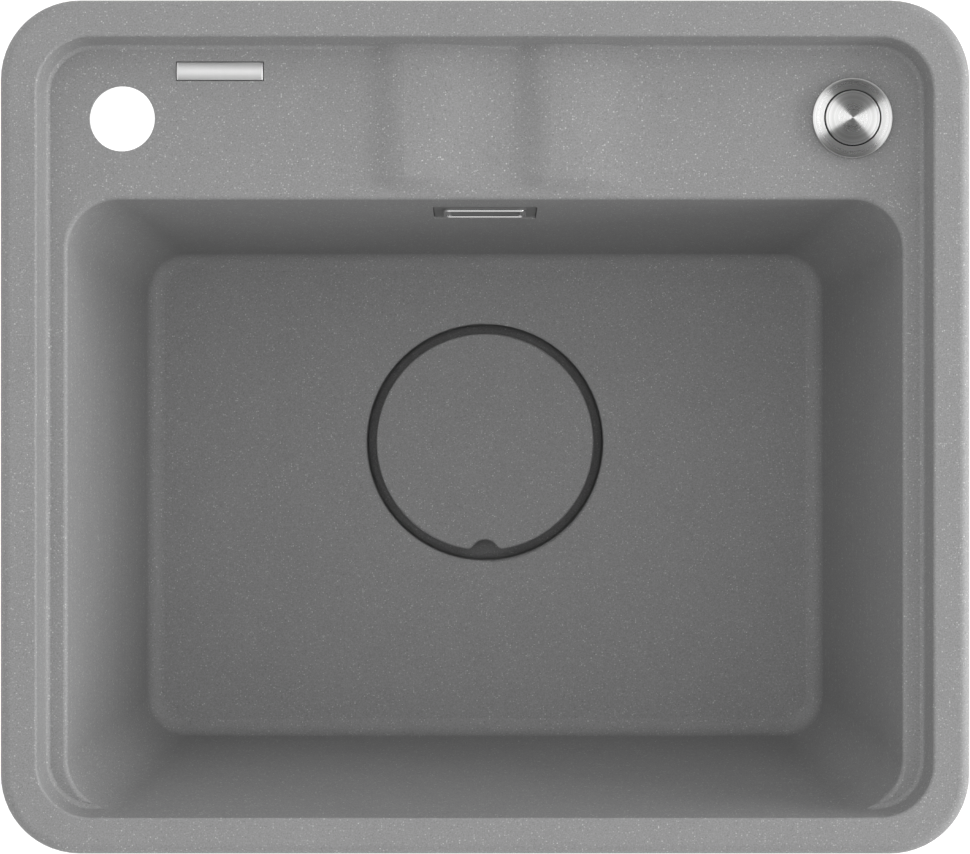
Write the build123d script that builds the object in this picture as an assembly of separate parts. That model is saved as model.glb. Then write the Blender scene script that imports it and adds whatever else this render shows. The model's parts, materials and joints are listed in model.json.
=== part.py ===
from build123d import *
import math
import os

# Inset kitchen sink moulded in granite composite, with its waste, overflow, control and fixings.
# Millimetres. Z = 0 is the worktop, +Y points to the wall behind the sink, +X to the right.

# Rim and outline
SINK_WIDTH = 512.0
SINK_DEPTH = 451.0
OUTER_CORNER_R = 42.0
RIM_WIDTH = 19.7
RIM_HEIGHT = 9.0
RIM_OUTER_EDGE_R = 6.0
RIM_INNER_EDGE_R = 1.5

# Recess inside the rim: a steep wall with a rounded foot, and the deck
RECESS_CORNER_R = 28.5
RECESS_WALL_RUN = 2.5
RECESS_FOOT_R = 3.0
RECESS_FOOT_SINK = 0.05
DECK_DROP = 18.0
DECK_THICKNESS = 9.0
TRAY_WALL = 6.5
TRAY_EDGE_R = 5.0

# Two soft ridges on the deck, running front to back
RIDGE_COUNT = 2
RIDGE_START_X = -65.0
RIDGE_RISE = 22.0
RIDGE_FALL = 56.0
RIDGE_HEIGHT = 4.4
RIDGE_NOSE = 10.0
RIDGE_NOSE_STEPS = 4
RIDGE_TIP = 0.06

# Bowl
BOWL_DEPTH = 200.0
LEDGE_WIDTH = 10.8
DECK_LENGTH = 81.8
FRONT_OVERLAP = 0.15
SIDE_DRAFT = 6.9
BACK_DRAFT = 5.9
FRONT_DRAFT = 6.3
BOWL_CORNER_R = 27.0
BOWL_FOOT_CORNER_R = 24.0
BOWL_FLOOR_R = 10.0
BOWL_EDGE_R = 2.5
BOWL_WALL = 8.0
FLOOR_THICKNESS = 9.0

# Drain well and the stone cover that hides the waste
DRAIN_Y = -9.1
WELL_R = 71.0
WELL_DEPTH = 24.0
WELL_WALL = 9.0
WELL_FLOOR_R = 3.0
WELL_EDGE_R = 1.5
DRAIN_HOLE_R = 45.0
COVER_GAP = 5.8
COVER_THICKNESS = 10.0
COVER_EDGE_R = 1.2
NOTCH_R = 8.4
NOTCH_DEPTH = 6.5
NOTCH_SHOULDER_R = 4.0
FOOT_COUNT = 3
FOOT_R = 3.0
FOOT_INSET = 5.0
FOOT_SOCKET = 3.0

# Holes through the deck, and the steel bar let into it
HOLE_R = 17.5
TAP_SIDE_INSET = 62.4
TAP_LIP = 3.0
TAP_RELIEF_R = 20.5
CONTROL_SIDE_INSET = 60.4
HOLE_BACK_INSET = 61.0
BAR_LENGTH = 45.9
BAR_WIDTH = 9.4
BAR_CROWN = 0.5
BAR_PROUD = 0.3
BAR_BEVEL = 0.8
BAR_GAP = 0.5
BAR_POCKET = 3.0
BAR_SIDE_INSET = 114.6
BAR_BACK_INSET = 35.8
PAD_THICKNESS = 0.8

# Control on the right of the deck
CONTROL_RING_R = 21.25
CONTROL_RING_TOP = 4.4
CONTROL_BEVEL = 1.0
CONTROL_GASKET = 0.8
BUTTON_R = 14.6
BUTTON_GAP = 0.4
BUTTON_THICKNESS = 4.0
BUTTON_PROUD = 0.6
BUTTON_TRAVEL = 8.0
SLEEVE_R = 16.8
SLEEVE_SEAT = 1.5
SPRING_SPACE = 19.0
SPRING_R = 10.5
SPRING_WIRE_R = 0.7
SPRING_TURNS = 4
PLUNGER_R = 4.5
PLUNGER_LENGTH = 41.0
ANCHOR_R = 7.0
ANCHOR_LENGTH = 6.0
HOUSING_R = 12.0
HOUSING_WALL = 3.0
NUT_ACROSS_CORNERS = 52.0
NUT_HEIGHT = 10.0
WASHER_R = 24.0
WASHER_THICKNESS = 1.5

# Cable glands on the control and on the waste
GLAND_R = 5.0
GLAND_COLLAR_R = 7.5
GLAND_COLLAR = 4.0
GLAND_LENGTH = 14.0
GLAND_BORE_R = 1.3

# Waste fitting
FLANGE_R = 55.0
FLANGE_THICKNESS = 1.2
FLANGE_GASKET = 1.5
CUP_CLEARANCE = 1.5
CUP_WALL = 1.2
CUP_DEPTH = 32.0
CUP_BASE = 1.5
SEAT_R = 36.3
SEAT_DROP = 10.0
SEAT_HEIGHT = 7.0
DRAIN_SLOT_COUNT = 8
DRAIN_SLOT_R = 7.0
DRAIN_SLOT_CIRCLE_R = 24.0
BOLT_R = 7.9
BOLT_HEAD_R = 12.0
BOLT_HEAD = 4.0
BOLT_CLEARANCE = 0.3
HUB_R = 13.0
HUB_LENGTH = 10.5
ARM_COUNT = 3
ARM_ANGLE = 30.0
ARM_WIDTH = 6.0
ARM_HEIGHT = 8.0
BODY_GASKET = 2.0
GASKET_INSET = 1.0
BODY_FLANGE_R = 58.0
BODY_FLANGE = 4.0
CHAMBER_R = 47.0
CHAMBER_WALL = 3.0
CHAMBER_DEPTH = 60.0
CONE_HEIGHT = 16.0
OUTLET_R = 23.9
OUTLET_BORE_R = 20.0
OUTLET_LENGTH = 24.0

# Plug, lift pin and lever under the cover
PLUG_R = 40.0
PLUG_THICKNESS = 4.0
PLUG_LIFT = 9.0
PLUG_SEAL_R = 1.75
PLUG_STEM_R = 6.0
PLUG_STEM = 13.0
FIN_COUNT = 4
FIN_ANGLE = 45.0
FIN_WIDTH = 2.0
FIN_CLEARANCE = 1.2
PIN_R = 3.0
PIN_SOCKET = 11.0
PIN_TAIL = 3.0
LEVER_ARM = 28.0
LEVER_TIP_R = 4.0
LEVER_WIDTH = 8.0
LEVER_THICKNESS = 6.0
LEVER_HUB_PROUD = 1.0
LEVER_HUB_R = 7.0
SHAFT_R = 4.0
BEARING_R = 10.0
BEARING_WALL = 4.0
BEARING_LENGTH = 12.0
SHAFT_SEAL = 4.0
SHAFT_CAP = 3.0
SHAFT_END_GAP = 1.0
CRANK_REACH = 24.0
CRANK_THICKNESS = 6.0
BRACKET_REACH = 38.0
BRACKET_PLATE = 4.0

# Overflow in the back wall, its elbow and its pipe down to the waste
OVERFLOW_BELOW_RIM = 58.0
NICHE_WIDTH = 56.5
NICHE_HEIGHT = 36.0
NICHE_DEPTH = 3.0
NICHE_CORNER_R = 2.0
PLATE_GAP = 0.4
PLATE_THICKNESS = 2.0
RING_LENGTH = 45.5
RING_HEIGHT = 21.5
RING_CORNER_R = 5.0
RING_BAR = 2.2
RING_PROUD = 1.2
RING_BEVEL = 0.6
SLEEVE_WALL = 1.2
SLOT_CLEARANCE = 0.4
SCREW_R = 1.5
SCREW_HEAD_R = 3.0
SCREW_HEAD = 2.2
SCREW_OFFSET = 24.5
SCREW_END_GAP = 1.0
SCREW_BOSS_R = 2.6
OVERFLOW_GASKET = 1.5
ELBOW_FLANGE_WIDTH = 60.0
ELBOW_FLANGE_HEIGHT = 34.0
ELBOW_FLANGE = 4.0
ELBOW_WIDTH = 40.0
ELBOW_DEPTH = 34.0
ELBOW_WALL = 3.0
PIPE_R = 12.5
PIPE_WALL = 2.0
PIPE_BEND_R = 40.0
SOCKET_R = 15.0
SOCKET_LENGTH = 22.0
PIPE_NUT_R = 19.0
PIPE_NUT_GRIP = 10.0
PIPE_NUT_LIP = 3.0
PIPE_SEAL = 3.0
INLET_DROP = 24.0
INLET_REACH = 14.0

# Worktop seal and the clips that pull the rim down on the worktop
SEAL_WIDTH = 6.0
SEAL_DEPTH = 2.0
SEAL_INSET = 4.5
CLIP_INSET = 4.8
CLIP_SIDE_SPACING = 170.0
CLIP_SIDE_Y = -25.0
CLIP_BACK_SPACING = 240.0
CLIP_WIDTH = 13.0
CLIP_THICKNESS = 2.0
CLIP_REACH = 17.5
CLIP_HEEL = 5.5
CLIP_TOOTH = 4.0
WORKTOP_THICKNESS = 38.0
CLIP_SCREW_R = 2.5
CLIP_HEAD_R = 4.5
CLIP_HEAD = 3.0
CLIP_SLEEVE_R = 5.0
INSERT_R = 4.0
INSERT_DEPTH = 6.0

# Clearances shared by the fits, the overlap of joined shapes and the reach of cuts past a face
RUNNING_FIT = 0.05
SLIDE_FIT = 0.3
LOOSE_FIT = 0.15
CABLE_CLEARANCE = 1.0
JOIN_OVERLAP = 0.5
OVERCUT = 1.0
LEVEL_TOLERANCE = 0.01

# Levels and half sizes worked out from the sizes above
half_x = SINK_WIDTH / 2
half_y = SINK_DEPTH / 2
recess_x = half_x - RIM_WIDTH
recess_y = half_y - RIM_WIDTH
deck_x = recess_x - RECESS_WALL_RUN
deck_y = recess_y - RECESS_WALL_RUN
deck_corner_r = RECESS_CORNER_R - RECESS_WALL_RUN
tray_x = deck_x + TRAY_WALL
tray_y = deck_y + TRAY_WALL
tray_corner_r = deck_corner_r + TRAY_WALL
deck_z = RIM_HEIGHT - DECK_DROP
deck_under_z = deck_z - DECK_THICKNESS
floor_z = RIM_HEIGHT - BOWL_DEPTH
well_z = floor_z - WELL_DEPTH
sink_under_z = well_z - FLOOR_THICKNESS
bowl_back_y = deck_y - DECK_LENGTH
tap_x = -half_x + TAP_SIDE_INSET
control_x = half_x - CONTROL_SIDE_INSET
hole_y = half_y - HOLE_BACK_INSET
cover_r = WELL_R - COVER_GAP
cup_r = DRAIN_HOLE_R - CUP_CLEARANCE
flange_z = well_z + FLANGE_GASKET
flange_top_z = flange_z + FLANGE_THICKNESS
cup_under_z = flange_z - CUP_DEPTH
cup_floor_z = cup_under_z + CUP_BASE
seat_top_z = flange_top_z - SEAT_DROP
seat_low_z = seat_top_z - SEAT_HEIGHT
hub_low_z = cup_under_z - HUB_LENGTH
body_top_z = sink_under_z - BODY_GASKET
chamber_low_z = body_top_z - CHAMBER_DEPTH
outlet_top_z = chamber_low_z - CONE_HEIGHT
outlet_low_z = outlet_top_z - OUTLET_LENGTH
chamber_out_r = CHAMBER_R + CHAMBER_WALL
plug_top_z = seat_top_z + PLUG_THICKNESS - PLUG_SEAL_R / 2
plug_under_z = plug_top_z - PLUG_THICKNESS
stem_low_z = plug_under_z - PLUG_STEM
pin_top_z = stem_low_z + PIN_SOCKET
pin_low_z = hub_low_z - PLUG_LIFT - PIN_TAIL
lever_z = pin_low_z - SLIDE_FIT - LEVER_TIP_R
lever_y = DRAIN_Y + LEVER_ARM
inlet_z = body_top_z - INLET_DROP
pipe_bore_r = PIPE_R - PIPE_WALL
ring_top_z = deck_z + CONTROL_RING_TOP
gasket_top_z = deck_z + CONTROL_GASKET
sleeve_top_z = gasket_top_z + SLEEVE_SEAT
button_top_z = ring_top_z + BUTTON_PROUD
button_under_z = button_top_z - BUTTON_THICKNESS
sleeve_bore_r = BUTTON_R + BUTTON_GAP
spring_floor_z = button_under_z - SPRING_SPACE
plunger_low_z = button_under_z - PLUNGER_LENGTH
gland_reach = GLAND_LENGTH - GLAND_COLLAR - HOUSING_WALL
housing_low_z = plunger_low_z - ANCHOR_LENGTH - BUTTON_TRAVEL - CABLE_CLEARANCE - gland_reach
jaw_top_z = -WORKTOP_THICKNESS - CLIP_TOOTH
overflow_z = RIM_HEIGHT - OVERFLOW_BELOW_RIM
side_run = math.tan(math.radians(SIDE_DRAFT))
back_run = math.tan(math.radians(BACK_DRAFT))
front_run = math.tan(math.radians(FRONT_DRAFT))
wall_normal = BOWL_WALL * math.cos(math.radians(BACK_DRAFT))


def save(shape, node):
    """Write one node; a node of several solids keeps them as separate bodies."""
    export_step(shape, f"parts/{node}.step")


def group(shapes):
    """Separate solids that share one node."""
    return Compound(children=[solid for shape in shapes for solid in shape.solids()])


def turned(*points):
    """Solid of revolution about Z from an outline of (radius, height) points."""
    outline = make_face(Plane.XZ * Polyline(*points, close=True))
    return revolve(outline, Axis.Z)


def ring(inner_r, outer_r, low_z, high_z):
    """Plain round ring or tube about Z."""
    return turned((inner_r, low_z), (outer_r, low_z), (outer_r, high_z), (inner_r, high_z))


def rod(radius, low_z, high_z):
    """Plain round bar about Z."""
    return Pos(0, 0, low_z) * extrude(Circle(radius), high_z - low_z)


def block(x_range, y_range, z_range):
    """Rectangular block between two corners."""
    size = [high - low for low, high in (x_range, y_range, z_range)]
    middle = [(high + low) / 2 for low, high in (x_range, y_range, z_range)]
    return Pos(*middle) * Box(*size)


def slab(size_half_x, size_half_y, corner_r, low_z, high_z):
    """Rounded rectangle, centred on the sink, between two levels."""
    outline = RectangleRounded(2 * size_half_x, 2 * size_half_y, corner_r)
    return Pos(0, 0, low_z) * extrude(outline, high_z - low_z)


def top_edges(shape):
    return shape.faces().sort_by(Axis.Z)[-1].edges()


def low_edges(shape):
    return shape.faces().sort_by(Axis.Z)[0].edges()


def edges_at(shape, z):
    """Edges that lie level at one height."""
    return shape.edges().filter_by_position(Axis.Z, z - LEVEL_TOLERANCE, z + LEVEL_TOLERANCE)


def bowl_section(z, grow):
    """Outline of the bowl at one level, widened by a wall; the four walls lean out upwards."""
    rise = z - deck_z
    side = deck_x - LEDGE_WIDTH + rise * side_run + grow
    back = bowl_back_y + rise * back_run + grow
    front = -recess_y - FRONT_OVERLAP + (RIM_HEIGHT - z) * front_run - grow
    share = (z - floor_z) / (RIM_HEIGHT - floor_z)
    corner = BOWL_FOOT_CORNER_R + share * (BOWL_CORNER_R - BOWL_FOOT_CORNER_R) + grow
    return Pos(0, (front + back) / 2, z) * RectangleRounded(2 * side, back - front, corner)


def bowl_solid(high_z, low_z, grow, floor_r):
    """The bowl's space, or with a wall added its outside, with a rounded foot."""
    shape = loft([bowl_section(high_z, grow), bowl_section(low_z, grow)], ruled=True)
    return fillet(low_edges(shape), floor_r)


def overflow_plane():
    """Plane on the bowl's back wall at the overflow, facing into the bowl."""
    lean = math.radians(BACK_DRAFT)
    wall_y = bowl_back_y + (overflow_z - deck_z) * back_run
    facing = (0, -math.cos(lean), math.sin(lean))
    return Plane(origin=(0, wall_y, overflow_z), x_dir=(1, 0, 0), z_dir=facing)


def on_wall(outline, low, high):
    """Outline stood on the overflow plane, from one depth to another; below zero is into the wall."""
    return overflow_plane() * (Pos(0, 0, low) * extrude(outline, high - low))


def ridge_flank(x, run, low, high):
    """Two arcs from one level to another that start and end level and meet smoothly halfway."""
    middle = (x + run / 2, (low + high) / 2)
    lean = 2 * math.atan2(high - low, run)
    first = TangentArc((x, low), middle, tangent=(1, 0))
    second = TangentArc(middle, (x + run, high), tangent=(math.cos(lean), math.sin(lean)))
    return [first, second]


def ridge_section(height):
    """Outline across the ridges, at one height of their crests, with its base inside the deck."""
    low = deck_z - DECK_THICKNESS / 2
    crest_z = deck_z + height
    pitch = RIDGE_RISE + RIDGE_FALL
    end_x = RIDGE_START_X + RIDGE_COUNT * pitch
    wave = []
    for index in range(RIDGE_COUNT):
        x = RIDGE_START_X + index * pitch
        wave += ridge_flank(x, RIDGE_RISE, deck_z, crest_z)
        wave += ridge_flank(x + RIDGE_RISE, RIDGE_FALL, crest_z, deck_z)
    base = Polyline((end_x, deck_z), (end_x, low), (RIDGE_START_X, low), (RIDGE_START_X, deck_z))
    return make_face(Plane.XZ * Curve(wave + [base]))


def deck_ridges():
    """Soft ridges across the deck, steeper on their left, that sink into it towards the bowl."""
    back_y = deck_y + TRAY_WALL / 2
    nose_y = bowl_back_y + BOWL_EDGE_R + RIDGE_NOSE
    ridges = Pos(0, back_y, 0) * extrude(ridge_section(RIDGE_HEIGHT), back_y - nose_y, dir=(0, -1, 0))
    sections = []
    for step in range(RIDGE_NOSE_STEPS + 1):
        share = step / RIDGE_NOSE_STEPS
        height = RIDGE_TIP + (RIDGE_HEIGHT - RIDGE_TIP) * (1 + math.cos(math.pi * share)) / 2
        sections.append(Pos(0, nose_y - share * RIDGE_NOSE, 0) * ridge_section(height))
    return ridges + loft(sections)


def recess():
    """Space inside the rim; its rounded foot meets the deck at a slight angle."""
    top = Pos(0, 0, RIM_HEIGHT) * RectangleRounded(2 * recess_x, 2 * recess_y, RECESS_CORNER_R)
    foot = Pos(0, 0, deck_z - RECESS_FOOT_SINK) * RectangleRounded(2 * deck_x, 2 * deck_y, deck_corner_r)
    space = loft([top, foot], ruled=True)
    return fillet(low_edges(space), RECESS_FOOT_R)


def make_rim():
    """Raised rim with its steep inner wall, open over the bowl."""
    body = slab(half_x, half_y, OUTER_CORNER_R, 0, RIM_HEIGHT)
    body = fillet(top_edges(body), RIM_OUTER_EDGE_R)
    body += slab(tray_x, tray_y, tray_corner_r, deck_z, RIM_HEIGHT / 2)
    body -= recess()
    inner = edges_at(body, RIM_HEIGHT).filter_by(lambda edge: within(edge, recess_x, recess_y))
    return fillet(inner, RIM_INNER_EDGE_R)


def within(edge, limit_x, limit_y):
    """True for an edge whose middle lies inside a rectangle centred on the sink."""
    middle = edge.center()
    inside_x = abs(middle.X) < limit_x + LEVEL_TOLERANCE
    return inside_x and abs(middle.Y) < limit_y + LEVEL_TOLERANCE


def make_shell():
    """Deck and bowl in one wall, with the round drain well under the floor."""
    body = slab(tray_x, tray_y, tray_corner_r, deck_under_z, deck_z)
    body = fillet(low_edges(body), TRAY_EDGE_R)
    body += bowl_solid(deck_z, floor_z - FLOOR_THICKNESS, BOWL_WALL, BOWL_FLOOR_R + BOWL_WALL / 2)
    well = rod(WELL_R + WELL_WALL, sink_under_z, floor_z - FLOOR_THICKNESS / 2)
    body += Pos(0, DRAIN_Y, 0) * fillet(low_edges(well), WELL_WALL / 2)
    body -= bowl_solid(RIM_HEIGHT, floor_z, 0, BOWL_FLOOR_R)
    bowl_edge = edges_at(body, deck_z).filter_by(round_bowl)
    return fillet(bowl_edge, BOWL_EDGE_R) + deck_ridges()


def round_bowl(edge):
    """True for an edge of the bowl's mouth, which lies inside the tray's own outline."""
    middle = edge.center()
    inside_x = abs(middle.X) < deck_x - LEDGE_WIDTH + LEVEL_TOLERANCE
    return inside_x and -recess_y < middle.Y < bowl_back_y + LEVEL_TOLERANCE


def make_basin():
    """The whole stone moulding."""
    bowl = bowl_solid(RIM_HEIGHT, floor_z, 0, BOWL_FLOOR_R)
    lip_low = deck_z - 2 * BOWL_EDGE_R
    inner_x = deck_x - RECESS_FOOT_R
    inner_y = deck_y - RECESS_FOOT_R
    under_rim = slab(tray_x, tray_y, tray_corner_r, lip_low, deck_z)
    under_rim -= slab(inner_x, inner_y, deck_corner_r - RECESS_FOOT_R, lip_low, deck_z)
    basin = make_shell() + (make_rim() - bowl) + (under_rim - bowl)
    well = rod(WELL_R, well_z, floor_z + OVERCUT)
    well = fillet(low_edges(well), WELL_FLOOR_R)
    basin -= Pos(0, DRAIN_Y, 0) * well
    circles = edges_at(basin, floor_z).filter_by(GeomType.CIRCLE)
    mouth = circles.filter_by(lambda edge: abs(edge.radius - WELL_R) < LEVEL_TOLERANCE)
    basin = fillet(mouth, WELL_EDGE_R)
    basin -= Pos(0, DRAIN_Y, 0) * rod(DRAIN_HOLE_R, sink_under_z - OVERCUT, floor_z)
    for x in (tap_x, control_x):
        basin -= Pos(x, hole_y, 0) * rod(HOLE_R, deck_under_z - OVERCUT, RIM_HEIGHT)
    basin -= Pos(tap_x, hole_y, 0) * rod(TAP_RELIEF_R, deck_under_z - OVERCUT, deck_z - TAP_LIP)
    pocket = Rectangle(BAR_LENGTH + 2 * BAR_GAP, BAR_WIDTH + 2 * BAR_GAP)
    basin -= bar_place(deck_z - BAR_POCKET) * extrude(pocket, 2 * BAR_POCKET)
    basin -= on_wall(RectangleRounded(NICHE_WIDTH, NICHE_HEIGHT, NICHE_CORNER_R), -NICHE_DEPTH, BOWL_WALL)
    basin -= on_wall(sleeve_outline(SLOT_CLEARANCE), -2 * BOWL_WALL, 0)
    for place in screw_places():
        basin -= on_wall(place * Circle(SCREW_BOSS_R + LOOSE_FIT), -2 * BOWL_WALL, 0)
    basin -= seal_ring(SEAL_DEPTH, 0)
    for place in clip_places():
        basin -= place * rod(INSERT_R, deck_under_z - OVERCUT, deck_under_z + INSERT_DEPTH)
    return basin


def seal_ring(depth, gap):
    """Strip under the rim, all the way round, with a gap to the groove's walls."""
    outer_x = half_x - SEAL_INSET - gap
    outer_y = half_y - SEAL_INSET - gap
    outer_r = OUTER_CORNER_R - SEAL_INSET - gap
    width = SEAL_WIDTH - 2 * gap
    outer = slab(outer_x, outer_y, outer_r, 0, depth)
    return outer - slab(outer_x - width, outer_y - width, outer_r - width, 0, depth)


def bar_place(z):
    """Centre of the steel bar, on the left of the deck behind the tap hole."""
    return Pos(-half_x + BAR_SIDE_INSET, half_y - BAR_BACK_INSET, z)


def make_bar():
    """Crowned steel bar with bevelled ends, seated on its pad."""
    low = deck_z - BAR_POCKET + PAD_THICKNESS
    edge_z = deck_z - low + BAR_PROUD
    half = BAR_WIDTH / 2
    crown = ThreePointArc((-half, edge_z), (0, edge_z + BAR_CROWN), (half, edge_z))
    sides = Polyline((half, edge_z), (half, 0), (-half, 0), (-half, edge_z))
    face = make_face(Plane.YZ * Curve([crown, sides]))
    bar = Pos(-BAR_LENGTH / 2, 0, 0) * extrude(face, BAR_LENGTH, dir=(1, 0, 0))
    bar = chamfer(bar.edges().filter_by(GeomType.CIRCLE), BAR_BEVEL)
    return bar_place(low) * bar


def make_cover():
    """Stone cover that hides the waste, with a finger notch at its front and sockets for its feet."""
    low = floor_z - COVER_THICKNESS
    cover = rod(cover_r, low, floor_z)
    notch_y = -cover_r + NOTCH_DEPTH - NOTCH_R
    cover -= Pos(0, notch_y, 0) * rod(NOTCH_R, low - OVERCUT, floor_z + OVERCUT)
    cover = fillet(cover.edges().filter_by(notch_shoulder), NOTCH_SHOULDER_R)
    cover = fillet(top_edges(cover), COVER_EDGE_R)
    for place in foot_places():
        cover -= place * rod(FOOT_R, low - OVERCUT, low + FOOT_SOCKET)
    return Pos(0, DRAIN_Y, 0) * cover


def notch_shoulder(edge):
    """True for an upright edge where the finger notch meets the cover's rim."""
    upright = edge.geom_type == GeomType.LINE and abs((edge % 0).Z) > 1 - LEVEL_TOLERANCE
    return upright and 0 < abs(edge.center().X) < 2 * NOTCH_R and edge.center().Y < 0


def foot_places():
    """Feet evenly round the cover, away from its notch."""
    return PolarLocations(cover_r - FOOT_INSET, FOOT_COUNT, start_angle=90)


def make_feet():
    low = floor_z - COVER_THICKNESS
    feet = [place * rod(FOOT_R, well_z, low + FOOT_SOCKET) for place in foot_places()]
    return group([Pos(0, DRAIN_Y, 0) * foot for foot in feet])


def make_cup():
    """Pressed steel flange and cup with the plug's seat and a ring of drain holes in its floor."""
    inner_r = cup_r - CUP_WALL
    hole_r = BOLT_R + BOLT_CLEARANCE
    cup = turned(
        (FLANGE_R, flange_z),
        (cup_r, flange_z),
        (cup_r, seat_top_z),
        (SEAT_R + CUP_WALL, seat_low_z),
        (SEAT_R + CUP_WALL, cup_under_z),
        (hole_r, cup_under_z),
        (hole_r, cup_floor_z),
        (SEAT_R, cup_floor_z),
        (SEAT_R, seat_low_z),
        (inner_r, seat_top_z),
        (inner_r, flange_top_z),
        (FLANGE_R, flange_top_z),
    )
    for place in PolarLocations(DRAIN_SLOT_CIRCLE_R, DRAIN_SLOT_COUNT):
        cup -= place * rod(DRAIN_SLOT_R, cup_under_z - OVERCUT, cup_floor_z + OVERCUT)
    return Pos(0, DRAIN_Y, 0) * cup


def make_waste_body():
    """Plastic body under the sink: chamber, outlet, bolt hub, overflow inlet and lever bearings."""
    body = turned(
        (BODY_FLANGE_R, body_top_z),
        (CHAMBER_R, body_top_z),
        (CHAMBER_R, chamber_low_z),
        (OUTLET_BORE_R, outlet_top_z),
        (OUTLET_BORE_R, outlet_low_z),
        (OUTLET_R, outlet_low_z),
        (OUTLET_R, outlet_top_z),
        (chamber_out_r, chamber_low_z),
        (chamber_out_r, body_top_z - BODY_FLANGE),
        (BODY_FLANGE_R, body_top_z - BODY_FLANGE),
    )
    arm_x = (HUB_R - CHAMBER_WALL, CHAMBER_R + CHAMBER_WALL / 2)
    arm_z = (hub_low_z, hub_low_z + ARM_HEIGHT)
    arm = block(arm_x, (-ARM_WIDTH / 2, ARM_WIDTH / 2), arm_z)
    for index in range(ARM_COUNT):
        body += Rot(0, 0, ARM_ANGLE + index * 360 / ARM_COUNT) * arm
    body += rod(HUB_R, hub_low_z, cup_under_z)
    body -= rod(BOLT_R + RUNNING_FIT, hub_low_z - OVERCUT, cup_under_z + OVERCUT)
    body += inlet_place() * socket(INLET_REACH + CHAMBER_WALL / 2)
    body -= inlet_place() * socket_bore(INLET_REACH + CHAMBER_WALL)
    body += bearings()
    body -= Pos(0, LEVER_ARM, lever_z) * shaft_space()
    return Pos(0, DRAIN_Y, 0) * body


def inlet_place():
    """Mouth of the overflow inlet on the waste body, facing back."""
    return Pos(0, chamber_out_r + INLET_REACH + SOCKET_LENGTH, inlet_z) * Rot(-90, 0, 0)


def socket(root):
    """Pipe socket with its mouth at the origin, facing up, and a root below it."""
    return rod(SOCKET_R, -SOCKET_LENGTH - root, 0)


def socket_bore(root):
    """Bore of a pipe socket: wide for the pipe, then the pipe's own bore through the root."""
    wide = rod(PIPE_R + LOOSE_FIT, -SOCKET_LENGTH, OVERCUT)
    return wide + rod(pipe_bore_r, -SOCKET_LENGTH - root - OVERCUT, 0)


def bearing_face():
    """Distance from the drain's axis to the outer end of the right-hand lever bearing."""
    return math.sqrt(chamber_out_r ** 2 - LEVER_ARM ** 2) + BEARING_LENGTH


def bearings():
    """Bearing bosses for the lever shaft, and the bracket that holds the cable gland."""
    face = bearing_face()
    inner = math.sqrt(CHAMBER_R ** 2 - LEVER_ARM ** 2)
    place = Pos(0, LEVER_ARM, lever_z) * Rot(0, 90, 0)
    boss = place * rod(BEARING_R, inner + JOIN_OVERLAP, face)
    boss += place * rod(BEARING_R, -face, -inner - JOIN_OVERLAP)
    plate_y = LEVER_ARM + BRACKET_REACH
    web_x = (face - BEARING_LENGTH / 2, face)
    low = lever_z - BEARING_R
    web = block(web_x, (LEVER_ARM, plate_y + BRACKET_PLATE), (low, lever_z))
    plate_x = (web_x[0], crank_x() + GLAND_COLLAR_R)
    high = lever_z + CRANK_REACH + GLAND_COLLAR_R
    plate = block(plate_x, (plate_y, plate_y + BRACKET_PLATE), (low, high))
    plate -= gland_spot() * rod(GLAND_R + RUNNING_FIT, -GLAND_LENGTH, GLAND_LENGTH)
    outside = block((0, 2 * face), (0, 2 * plate_y), (2 * low, high))
    outside -= rod(CHAMBER_R + JOIN_OVERLAP, 2 * low, 0)
    return boss + (web & outside) + plate


def shaft_space():
    """Room for the lever shaft, and the wider seat for its seal at the right."""
    face = bearing_face()
    bore = rod(SHAFT_R + RUNNING_FIT, -face + BEARING_WALL, face + OVERCUT)
    bore += rod(BEARING_R - BEARING_WALL, face - SHAFT_SEAL, face + OVERCUT)
    return Rot(0, 90, 0) * bore


def crank_x():
    """Middle of the crank, outside the shaft's cap."""
    return bearing_face() + SHAFT_CAP + SHAFT_END_GAP + CRANK_THICKNESS / 2


def gland_spot():
    """Back of the cable gland's collar on the waste bracket, before the drain's own offset."""
    y = LEVER_ARM + BRACKET_REACH + BRACKET_PLATE
    return Pos(crank_x(), y, lever_z + CRANK_REACH) * Rot(-90, 0, 0)


def make_gland():
    """Threaded cable gland with a collar above the seat and its thread below it."""
    body = rod(GLAND_COLLAR_R, 0, GLAND_COLLAR) + rod(GLAND_R, GLAND_COLLAR - GLAND_LENGTH, 0)
    return body - rod(GLAND_BORE_R, -GLAND_LENGTH, 2 * GLAND_COLLAR)


def make_bolt():
    """Hollow bolt that clamps cup, stone and waste body together; the lift pin slides in its bore."""
    bore_r = PIN_R + RUNNING_FIT
    bolt = turned(
        (bore_r, hub_low_z),
        (BOLT_R, hub_low_z),
        (BOLT_R, cup_floor_z),
        (BOLT_HEAD_R, cup_floor_z),
        (BOLT_HEAD_R, cup_floor_z + BOLT_HEAD),
        (bore_r, cup_floor_z + BOLT_HEAD),
    )
    return Pos(0, DRAIN_Y, 0) * bolt


def make_plug():
    """Plug disc with a stem and four guide fins, drilled for the lift pin."""
    plug = rod(PLUG_R, plug_under_z, plug_top_z)
    plug = fillet(top_edges(plug), PLUG_THICKNESS / 4)
    plug += rod(PLUG_STEM_R, stem_low_z, plug_under_z)
    fin_x = SEAT_R - FIN_CLEARANCE
    fin = block((0, fin_x), (-FIN_WIDTH / 2, FIN_WIDTH / 2), (stem_low_z + FIN_WIDTH, plug_under_z))
    for index in range(FIN_COUNT):
        plug += Rot(0, 0, FIN_ANGLE + index * 360 / FIN_COUNT) * fin
    plug -= rod(PIN_R, stem_low_z - OVERCUT, pin_top_z)
    plug -= plug_seal_ring()
    return Pos(0, DRAIN_Y, 0) * plug


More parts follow.
